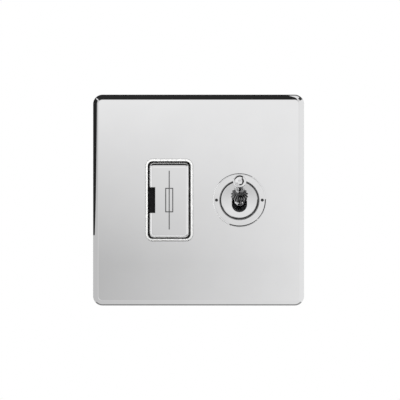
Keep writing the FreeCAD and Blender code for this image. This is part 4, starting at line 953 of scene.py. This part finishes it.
@dataclass
class ToggleSwitch:
    """The domed bush, its ring nut and the fluted lever."""

    bush_radius: float = 0.0081
    shoulder_back: float = -0.0034
    plate_back: float = -0.005
    dome_edge: float = 0.0019
    dome_rise: float = 0.0011
    dome_round: float = 0.0009
    dome_steps: int = 14
    corner_steps: int = 6
    bush_steps: int = 128
    slot_width: float = 0.0065
    slot_height: float = 0.0103
    slot_steps: int = 24
    ring_round: float = 0.0008
    ring_round_steps: int = 8
    ring_margin: float = 0.0001
    ring_steps: int = 160
    ring_bevel: float = 0.00035
    ring_gap: float = 0.0001
    ring_spare: float = 0.0002
    key_radius: float = 0.00975
    key_hole: float = 0.00065
    key_depth: float = 0.0013
    key_point: float = 0.0004
    key_steps: int = 32
    pivot_height: float = 0.0068
    tilt: float = math.radians(25.0)
    root_ball: float = 0.003
    skirt_start: float = 0.0041
    skirt_rim: float = 0.0013
    skirt_radius: float = 0.0037
    skirt_edge: float = 0.0003
    skirt_land: float = 0.0007
    neck_radius: float = 0.00175
    neck_start: float = 0.0104
    neck_straight: float = 0.002
    tip_reach: float = 0.0186
    tip_radius: float = 0.0028
    waist_radius: float = 0.0022
    stem_radius: float = 0.0012
    stem_reach: float = 0.011
    flutes: int = 16
    flute_depth: float = 0.0007
    flute_sharpness: float = 9.0
    flute_fade: float = 0.7
    steps_per_flute: int = 12
    flare_steps: int = 22
    root_steps: int = 24
    tip_steps: int = 28
    x: float = field(init=False)
    z: float = field(init=False)
    face: float = field(init=False)
    ring_radius: float = field(init=False)
    ring_height: float = field(init=False)

    def __post_init__(self) -> None:
        """Read the ring's place and size from the frame."""
        low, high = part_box("toggle_ring")
        self.x, self.z = (low.x + high.x) / 2, (low.z + high.z) / 2
        self.face = -high.y
        self.ring_radius = (high.x - low.x) / 2
        self.ring_height = high.y - low.y

    def build(self, bench: Bench) -> None:
        """Model every piece of the switch that shows.

        Args:
            bench: Makes and dresses the pieces.
        """
        self.bush(bench)
        self.ring(bench)
        self.lever(bench)

    def bush(self, bench: Bench) -> None:
        """The domed bush with its slot.

        Args:
            bench: Makes and dresses the pieces.
        """
        low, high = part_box("toggle_bush")
        radius, shoulder = self.bush_radius, (high.x - low.x) / 2
        edge = self.face + self.dome_edge
        sphere = (radius * radius + self.dome_rise * self.dome_rise) / (2 * self.dome_rise)
        spread = math.degrees(math.asin((radius - self.dome_round) / sphere))
        dome = arc((0.0, edge + self.dome_rise - sphere), sphere, 90.0, 90.0 - spread, self.dome_steps)
        corner = arc((radius - self.dome_round, dome[-1][1] - self.dome_round), self.dome_round,
                     90.0 - spread, 0.0, self.corner_steps)
        profile = [*dome[:-1], *corner, (radius, -self.plate_back), (shoulder, -self.plate_back),
                   (shoulder, -self.shoulder_back), (radius, -self.shoulder_back), (radius, -high.y),
                   (0.0, -high.y)]
        mesh = bmesh.new()
        lathe(mesh, profile, self.bush_steps, place=facing_front(self.x, self.z))
        piece = bench.piece("toggle_bush_shown", mesh, TURNED_CHROME, "unit", ("toggle_bush",))
        opening = Outline(self.x, self.z, self.slot_width, self.slot_height,
                          self.slot_width / 2 - WELD, self.slot_steps)
        cutter = bmesh.new()
        first = opening.ring(cutter, 0.0, low.y - self.dome_rise)
        last = opening.sweep(cutter, first, [(0.0, high.y + self.dome_rise)])
        for ring in (first, last):
            bmesh.ops.edgeloop_fill(cutter, edges=ring)
        cut_away(piece, cutter)

    def ring(self, bench: Bench) -> None:
        """The ring nut with two spanner holes.

        Args:
            bench: Makes and dresses the pieces.
        """
        inner, outer = self.bush_radius + self.ring_gap, self.ring_radius + self.ring_spare
        back, front = self.face, self.face + self.ring_height
        rounding = arc((outer - self.ring_round, front - self.ring_round), self.ring_round,
                       90.0, 0.0, self.ring_round_steps)
        profile = [(inner, back), (inner, front - self.ring_bevel), (inner + self.ring_bevel, front),
                   (outer - self.ring_round - self.ring_margin, front), *rounding, (outer, back)]
        mesh = bmesh.new()
        lathe(mesh, profile, self.ring_steps, closed=True, place=facing_front(self.x, self.z))
        piece = bench.piece("toggle_ring_shown", mesh, TURNED_CHROME, "unit", ("toggle_ring",))
        for side in (-1.0, 1.0):
            hole = bmesh.new()
            lathe(hole, [(0.0, front - self.key_depth),
                         (self.key_hole, front - self.key_depth + self.key_point),
                         (self.key_hole, front + self.key_depth), (0.0, front + self.key_depth)],
                  self.key_steps, place=facing_front(self.x + side * self.key_radius, self.z))
            cut_away(piece, hole)
        weigh(piece)

    def lever(self, bench: Bench) -> None:
        """The lever, turned about its own axis and then fluted.

        Args:
            bench: Makes and dresses the pieces.
        """
        rim, start = self.skirt_radius, self.skirt_start
        bell = start + self.skirt_rim
        run, fall = self.neck_start - bell, rim - self.neck_radius
        sweep = (run * run + fall * fall) / (2 * fall)
        hollow = math.degrees(math.asin(run / sweep))
        flare = [(self.neck_radius + sweep - x, self.neck_start - y)
                 for x, y in arc((0.0, 0.0), sweep, hollow, 0.0, self.flare_steps)]
        ball_from = math.degrees(math.asin(self.waist_radius / self.root_ball))
        root_end = math.degrees(math.asin(self.stem_radius / self.root_ball))
        root = arc((0.0, 0.0), self.root_ball, root_end - 90.0, 90.0 - ball_from, self.root_steps)
        tip_join = math.degrees(math.acos(self.neck_radius / self.tip_radius))
        tip = arc((0.0, self.tip_reach), self.tip_radius, -tip_join, 90.0, self.tip_steps)
        profile = [(0.0, -self.stem_reach), (self.stem_radius, -self.stem_reach), *root,
                   (self.waist_radius, start), (rim - self.skirt_edge, start),
                   (rim, start + self.skirt_edge), (rim, start + self.skirt_land), *flare,
                   (self.neck_radius, self.neck_start + self.neck_straight), *tip[:-1],
                   (0.0, self.tip_reach + self.tip_radius)]
        mesh = bmesh.new()
        verts = lathe(mesh, profile, self.flutes * self.steps_per_flute)
        self.flute(verts)
        place = (Matrix.Translation((self.x, -self.pivot_height, self.z))
                 @ Matrix.Rotation(math.pi / 2 - self.tilt, 4, "X"))
        bmesh.ops.transform(mesh, matrix=place, verts=verts)
        piece = bench.piece("toggle_lever_shown", mesh, FLUTED_CHROME, "lever", ("toggle_lever",),
                            math.radians(40.0))
        # The root ball takes the turned finish, with lighter painted shade than the fluted skirt.
        piece.data.materials.append(TURNED_CHROME.material(bench.effects))
        for face in piece.data.polygons:
            if (face.center - place.translation).length < self.root_ball + self.skirt_rim / 4:
                face.material_index = 1

    def flute(self, verts: list[bmesh.types.BMVert]) -> None:
        """Press the flutes into the skirt, deepest at its rim and gone at the neck.

        Args:
            verts: The lever's vertices, round the Z axis.
        """
        reach = self.neck_start - self.skirt_start
        for vert in verts:
            along = (vert.co.z - self.skirt_start) / reach
            radius = vert.co.to_2d().length
            if 0.0 <= along < 1.0 and radius > self.neck_radius:
                turn = math.atan2(vert.co.y, vert.co.x) * self.flutes
                hollow = 1.0 - abs(math.sin(turn / 2.0)) ** self.flute_sharpness
                depth = self.flute_depth * hollow * (1.0 - along) ** self.flute_fade
                vert.co.x *= (radius - depth) / radius
                vert.co.y *= (radius - depth) / radius


@dataclass(frozen=True)
class ScrewKind:
    """Sizes of one kind of screw."""

    node: str
    shank: float
    head: float
    head_height: float
    pitch: float
    seat: float
    tip: float
    forward: bool
    neck: float = 0.0


SCREW_KINDS = (
    ScrewKind("fixing_screws", 0.00175, 0.0033, 0.0019, 0.0006, -0.0024, 0.022, True, 0.0024),
    ScrewKind("cover_screws", 0.0015, 0.0027, 0.0016, 0.0007, 0.0234, 0.0154, False),
    ScrewKind("terminal_screws", 0.00195, 0.0028, 0.0024, 0.0007, 0.0215, 0.0185, False),
)


@dataclass
class Screws:
    """Slotted screws with rounded heads and wound threads."""

    slit: float = 0.001
    slit_depth: float = 0.0008
    thread_depth: float = 0.0003
    edge: float = 0.00035
    edge_steps: int = 5
    point_length: float = 0.5
    point_radius: float = 0.4
    slit_reach: float = 1.2
    turn_steps: int = 40
    thread_steps: int = 20

    def build(self, bench: Bench) -> None:
        """Model each kind of screw at the places where the CAD has it.

        Args:
            bench: Makes and dresses the pieces.
        """
        for kind in SCREW_KINDS:
            self.build_kind(bench, kind)

    def places(self, kind: ScrewKind) -> list[tuple[float, float]]:
        """Where the screws of a kind stand, read from the solids of their node.

        Args:
            kind: The kind of screw.

        Returns:
            The X and Z of each screw's axis.
        """
        mesh = bmesh.new()
        mesh.from_mesh(frame["nodes"][kind.node].data)
        bmesh.ops.remove_doubles(mesh, verts=mesh.verts[:], dist=WELD)
        left = set(mesh.verts)
        found = []
        while left:
            island, edge = set(), [left.pop()]
            while edge:
                vert = edge.pop()
                island.add(vert)
                near = {link.other_vert(vert) for link in vert.link_edges} & left
                left -= near
                edge += near
            xs, zs = [vert.co.x for vert in island], [vert.co.z for vert in island]
            found.append(((min(xs) + max(xs)) / 2, (min(zs) + max(zs)) / 2))
        mesh.free()
        return sorted(found)

    def build_kind(self, bench: Bench, kind: ScrewKind) -> None:
        """Model all the screws of one kind as one piece.

        Args:
            bench: Makes and dresses the piece.
            kind: The kind of screw.
        """
        mesh = bmesh.new()
        way = 1.0 if kind.forward else -1.0
        length = abs(kind.tip - kind.seat)
        core = kind.shank - self.thread_depth
        point = core * self.point_length
        crown = arc((kind.head - self.edge, kind.head_height - self.edge), self.edge, 90.0, 0.0,
                    self.edge_steps)
        profile = [(0.0, kind.head_height), *crown, (kind.head, 0.0), (core, 0.0),
                   (core, point - length), (core * self.point_radius, -length), (0.0, -length)]
        for x, z in self.places(kind):
            place = (Matrix.Translation((x, kind.seat, z)) @ Matrix.Rotation(way * math.pi / 2, 4, "X"))
            lathe(mesh, profile, self.turn_steps, place=place)
            helical_rib(mesh, kind.shank, self.thread_depth, kind.pitch, point - length,
                        length - point - kind.pitch - kind.neck, self.thread_steps, place)
        piece = bench.piece(kind.node + "_shown", mesh, ZINC_SCREW, "unit", (kind.node,))
        for x, z in self.places(kind):
            slit = bmesh.new()
            top, reach = kind.seat - way * kind.head_height, kind.head * self.slit_reach
            block(slit, Vector((x - reach, top - self.slit_depth, z - self.slit / 2)),
                  Vector((x + reach, top + self.slit_depth, z + self.slit / 2)))
            cut_away(piece, slit)


CAMERA_DISTANCE = 2.0
CAMERA_OFFSET = (0.00062, 0.00004)
PLATE_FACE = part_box("front_plate")[0].y
MIRROR_POINT = CAMERA_DISTANCE + 2.0 * PLATE_FACE


@dataclass(frozen=True)
class Card:
    """A studio card that shows in reflections, light or dark.

    A card that shades keeps light off the mouldings instead, and stays out of reflections.
    """

    name: str
    corners: tuple[Point, ...]
    left_light: float
    right_light: float
    shades: bool = False


def drawn_in(depth: float) -> float:
    """How much nearer the mirror's axis a line of sight is at a depth than at the plate's face."""
    return (MIRROR_POINT - depth) / (MIRROR_POINT - PLATE_FACE)


def flat_card(name: str, x: Span, y: Span, height: float, light: float, shades: bool = False) -> Card:
    """A level card that the flat chrome sees edge-on.

    Its plane runs through the place where a mirror in the plate's face would show the camera.

    Args:
        name: The card's name.
        x: Its left and right ends.
        y: Its front and back edges.
        height: Its height at the plate's face.
        light: Its brightness.
        shades: Whether it only keeps light off the mouldings.

    Returns:
        The card.
    """
    (left, right), (front, back) = x, y
    near, far = height * drawn_in(front), height * drawn_in(back)
    corners = ((left, front, near), (right, front, near), (right, back, far), (left, back, far))
    return Card(name, corners, light, light, shades)


def side_card(name: str, x: float, y: Span, z: Span, light: float) -> Card:
    """An upright card that the flat chrome sees edge-on.

    Args:
        name: The card's name.
        x: Its place to the right of the middle, at the plate's face.
        y: Its front and back edges.
        z: Its lower and upper ends.
        light: Its brightness.

    Returns:
        The card.
    """
    (front, back), (low, high) = y, z
    middle = CAMERA_OFFSET[0]
    near, far = middle + (x - middle) * drawn_in(front), middle + (x - middle) * drawn_in(back)
    corners = ((near, front, low), (near, front, high), (far, back, high), (far, back, low))
    return Card(name, corners, light, light)


def facing_square(reach: float, y: float) -> tuple[Point, ...]:
    """The corners of a square that faces the object, round the Y axis."""
    return (-reach, y, -reach), (reach, y, -reach), (reach, y, reach), (-reach, y, reach)


CARDS = (
    Card("dark_above", ((-0.0472, -0.026, 0.0475), (0.0460, -0.026, 0.0475), (0.0440, -0.012, 0.0475),
                        (0.0360, 0.000, 0.0475), (0.0360, 0.012, 0.0475), (-0.0472, 0.012, 0.0475)),
         0.026, 0.022),
    Card("dark_left", ((-0.0485, -0.0055, -0.015), (-0.0485, -0.0082, 0.000), (-0.0485, -0.0125, 0.034),
                       (-0.0485, -0.0140, 0.047), (-0.0485, 0.012, 0.047), (-0.0485, 0.012, -0.015)),
         0.02, 0.02),
    Card("grey_left", ((-0.0490, -0.030, -0.050), (-0.0490, -0.030, 0.046), (-0.0490, 0.012, 0.046),
                       (-0.0490, 0.012, -0.050)), 0.56, 0.56),
    Card("light_right", ((0.0490, -0.030, -0.050), (0.0490, -0.030, 0.046), (0.0490, 0.012, 0.046),
                         (0.0490, 0.012, -0.050)), 0.84, 0.84),
    Card("grey_below", ((-0.048, -0.030, -0.0475), (0.048, -0.030, -0.0475), (0.048, -0.0046, -0.0475),
                        (-0.048, -0.0046, -0.0475)), 0.58, 0.80),
    Card("dark_below", ((-0.048, -0.0046, -0.0475), (0.048, -0.0046, -0.0475), (0.048, 0.012, -0.0475),
                        (-0.048, 0.012, -0.0475)), 0.22, 0.27),
    Card("light_top", ((-1.5, -1.9, 1.3), (0.9, -1.9, 1.3), (0.9, 0.5, 1.3), (-1.5, 0.5, 1.3)),
         0.90, 0.80),
    Card("light_left", ((-1.5, -2.2, -0.6), (-1.5, -2.2, 1.3), (-1.5, 0.3, 1.3), (-1.5, 0.3, -0.6)),
         0.90, 0.90),
    Card("dark_low", ((0.005, -0.125, -0.110), (0.100, -0.125, -0.085), (0.100, -0.062, -0.085),
                      (0.005, -0.062, -0.110)), 0.02, 0.02),
    Card("dark_side", ((0.100, -0.125, -0.085), (0.130, -0.125, -0.005), (0.130, -0.062, -0.005),
                       (0.100, -0.062, -0.085)), 0.02, 0.02),
    flat_card("under_switch", (0.0120, 0.0290), (-0.0150, -0.0080), -0.0130, 0.02),
    side_card("beside_switch", 0.0300, (-0.0130, -0.0080), (-0.0130, 0.0005), 0.02),
    flat_card("over_window", (-0.0245, -0.0020), (-0.0135, -0.0074), 0.0190, 0.0),
    flat_card("under_window", (-0.0245, -0.0005), (-0.0300, -0.0065), -0.0195, 0.08, shades=True),
    side_card("right_of_window", -0.0014, (-0.0140, -0.0076), (-0.0160, 0.0160), 0.95),
    side_card("left_of_window", -0.0236, (-0.0140, -0.0076), (-0.0160, 0.0160), 1.0),
    Card("light_wall", facing_square(2.2, -CAMERA_DISTANCE - 0.3), 0.88, 0.88),
)


@dataclass(frozen=True)
class Lamp:
    """A soft lamp that lights the mouldings and stays out of the reflections."""

    name: str
    place: Point
    size: float
    power: float


LAMPS = (
    Lamp("key", (-0.5, -1.2, 0.9), 0.9, 9.0),
    Lamp("fill", (0.7, -1.1, 0.2), 0.9, 6.0),
    Lamp("back", (0.3, 1.3, 0.8), 1.0, 10.0),
)


@dataclass
class Studio:
    """Camera, floor, cards and lights."""

    frame_width: float = 0.17104
    sensor: float = 36.0
    floor_z: float = -0.12
    floor_side: float = 3.0
    floor_near: float = -2.6
    floor_split: float = -0.15
    floor_far: float = 0.6
    floor_tone: float = 0.62
    floor_roughness: float = 0.7
    card_reach: float = 1.3
    card_y: float = -CAMERA_DISTANCE - 0.05
    fade_top: float = 0.085
    fade_bottom: float = -0.055
    fade_side: float = 0.09
    blend_start: float = 0.27
    blend_end: float = 0.50
    above_light: float = 0.64
    below_light: float = 0.84
    top_light: float = 0.89
    left_light: float = 0.52
    right_light: float = 0.816
    surroundings: float = 0.60
    mirrored: float = 0.05

    def build(self) -> None:
        """Set up everything round the object."""
        self.camera()
        self.world()
        self.floor()
        self.front_card()
        for card in CARDS:
            self.card(card)
        for lamp in LAMPS:
            self.lamp(lamp)
        bpy.context.scene.view_settings.view_transform = "Standard"

    def camera(self) -> None:
        """Square on to the plate, from as far as the photograph's flat view asks."""
        data = bpy.data.cameras.new("camera")
        data.sensor_width = self.sensor
        data.lens = self.sensor * CAMERA_DISTANCE / self.frame_width
        made = bpy.data.objects.new("camera", data)
        made.location = (CAMERA_OFFSET[0], -CAMERA_DISTANCE, CAMERA_OFFSET[1])
        made.rotation_euler = (math.pi / 2, 0.0, 0.0)
        bpy.context.scene.collection.objects.link(made)
        bpy.context.scene.camera = made

    def world(self) -> None:
        """White behind the object, and softer surroundings for light and reflections."""
        world = bpy.data.worlds.new("surroundings")
        bpy.context.scene.world = world
        world.use_nodes = True
        tree = world.node_tree
        tree.nodes.clear()
        path = add_node(tree, "LightPath")
        soft, dim, white = (add_node(tree, "Background", {"Color": (tone, tone, tone, 1.0)})
                            for tone in (self.surroundings, self.mirrored, 1.0))
        room, blend = add_node(tree, "MixShader"), add_node(tree, "MixShader")
        outlet = add_node(tree, "OutputWorld")
        connect(tree, (path, "Is Glossy Ray", room, "Fac"), (soft, "Background", room, 1),
                (dim, "Background", room, 2), (path, "Is Camera Ray", blend, "Fac"),
                (room, "Shader", blend, 1), (white, "Background", blend, 2),
                (blend, "Shader", outlet, "Surface"))

    def sheet(self, name: str, corners: tuple[Point, ...],
              material: bpy.types.Material) -> bpy.types.Object:
        """Lay a flat sheet through some corners and keep it off the object.

        Args:
            name: The sheet's name.
            corners: Its corners in order.
            material: What it is made of.

        Returns:
            The sheet.
        """
        mesh = bmesh.new()
        mesh.faces.new([mesh.verts.new(corner) for corner in corners])
        data = bpy.data.meshes.new(name)
        mesh.to_mesh(data)
        mesh.free()
        data.materials.append(material)
        made = bpy.data.objects.new(name, data)
        bpy.context.scene.collection.objects.link(made)
        return made

    def floor(self) -> None:
        """A plain pale floor, of which only the part below the object shows in the chrome."""
        material = bpy.data.materials.new("pale_floor")
        material.use_nodes = True
        shader = material.node_tree.nodes["Principled BSDF"]
        shader.inputs["Base Color"].default_value = (self.floor_tone,) * 3 + (1.0,)
        shader.inputs["Roughness"].default_value = self.floor_roughness
        side, z = self.floor_side, self.floor_z
        for name, near, far in (("floor_behind", self.floor_split, self.floor_far),
                                ("floor_before", self.floor_near, self.floor_split)):
            made = self.sheet(name, ((-side, near, z), (side, near, z), (side, far, z), (-side, far, z)),
                              material)
            made.visible_glossy = name == "floor_behind"

    def glowing(self, name: str) -> tuple[bpy.types.Material, bpy.types.Node, bpy.types.Node]:
        """Start a material that only shines.

        Args:
            name: The material's name.

        Returns:
            The material, the node with the place on the piece as X, Y and Z, and the node that
            shines.
        """
        material = bpy.data.materials.new(name)
        material.use_nodes = True
        tree = material.node_tree
        tree.nodes.clear()
        place, split = add_node(tree, "TexCoord"), add_node(tree, "SeparateXYZ")
        glow, outlet = add_node(tree, "Emission"), add_node(tree, "OutputMaterial")
        connect(tree, (place, "Object", split, "Vector"), (glow, "Emission", outlet, "Surface"))
        return material, split, glow

    def card(self, card: Card) -> None:
        """Stand a card that the camera doesn't see.

        Args:
            card: The card's corners and brightness.
        """
        material, split, glow = self.glowing(card.name)
        across = add_node(material.node_tree, "MapRange", {
            "From Min": min(corner[0] for corner in card.corners) - WELD,
            "From Max": max(corner[0] for corner in card.corners) + WELD,
            "To Min": card.left_light, "To Max": card.right_light})
        connect(material.node_tree, (split, "X", across, "Value"), (across, "Result", glow, "Strength"))
        made = self.sheet(card.name, card.corners, material)
        made.visible_camera = False
        made.visible_diffuse = card.shades
        made.visible_glossy = not card.shades
        made.visible_shadow = card.shades

    def front_card(self) -> None:
        """A wide card behind the camera, light at the top and darker at the lower left."""
        material, split, glow = self.glowing("front_card")
        tree = material.node_tree
        fall = add_node(tree, "MapRange", {"From Min": self.fade_top, "From Max": self.fade_bottom})
        side = add_node(tree, "MapRange", {"From Min": -self.fade_side, "From Max": self.fade_side,
                                           "To Min": self.left_light, "To Max": self.right_light})
        near = add_node(tree, "MapRange", {"To Min": self.top_light})
        far = add_node(tree, "MapRange", {"From Min": self.blend_end, "From Max": -self.blend_end,
                                          "To Min": self.above_light, "To Max": self.below_light})
        flat = add_node(tree, "CombineXYZ")
        radius = add_node(tree, "VectorMath", operation="LENGTH")
        outward = add_node(tree, "MapRange", {"From Min": self.blend_start, "From Max": self.blend_end},
                           interpolation_type="SMOOTHSTEP")
        total = add_node(tree, "Mix")
        connect(tree, (split, "Z", fall, "Value"), (split, "Z", far, "Value"),
                (split, "X", side, "Value"), (fall, "Result", near, "Value"),
                (side, "Result", near, "To Max"), (split, "X", flat, "X"), (split, "Z", flat, "Z"),
                (flat, "Vector", radius, 0), (radius, "Value", outward, "Value"),
                (outward, "Result", total, "Factor"), (near, "Result", total, "A"),
                (far, "Result", total, "B"), (total, "Result", glow, "Strength"))
        made = self.sheet("front_card", facing_square(self.card_reach, self.card_y), material)
        made.visible_camera = False
        made.visible_diffuse = False
        made.visible_shadow = False

    def lamp(self, lamp: Lamp) -> None:
        """Hang a lamp and aim it at the object.

        Args:
            lamp: The lamp's place, size and power.
        """
        data = bpy.data.lights.new(lamp.name, "AREA")
        data.size = lamp.size
        data.energy = lamp.power
        made = bpy.data.objects.new(lamp.name, data)
        made.location = lamp.place
        made.rotation_euler = (-Vector(lamp.place)).to_track_quat("-Z", "Y").to_euler()
        made.visible_glossy = False
        bpy.context.scene.collection.objects.link(made)


def main() -> None:
    """Build the object's looks and the studio round it."""
    logging.basicConfig(level=logging.INFO, format="%(name)s: %(message)s")
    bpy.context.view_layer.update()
    bench = Bench()
    for assembly in (WallPlate(), FuseWindow(), ToggleSwitch(), Screws()):
        assembly.build(bench)
    for item in SOFTENED:
        bench.soften(item)
    for node, finish in PLAIN_NODES.items():
        bench.dress(frame["nodes"][node], finish)
    Studio().build()


if __name__ == "__main__":
    main()
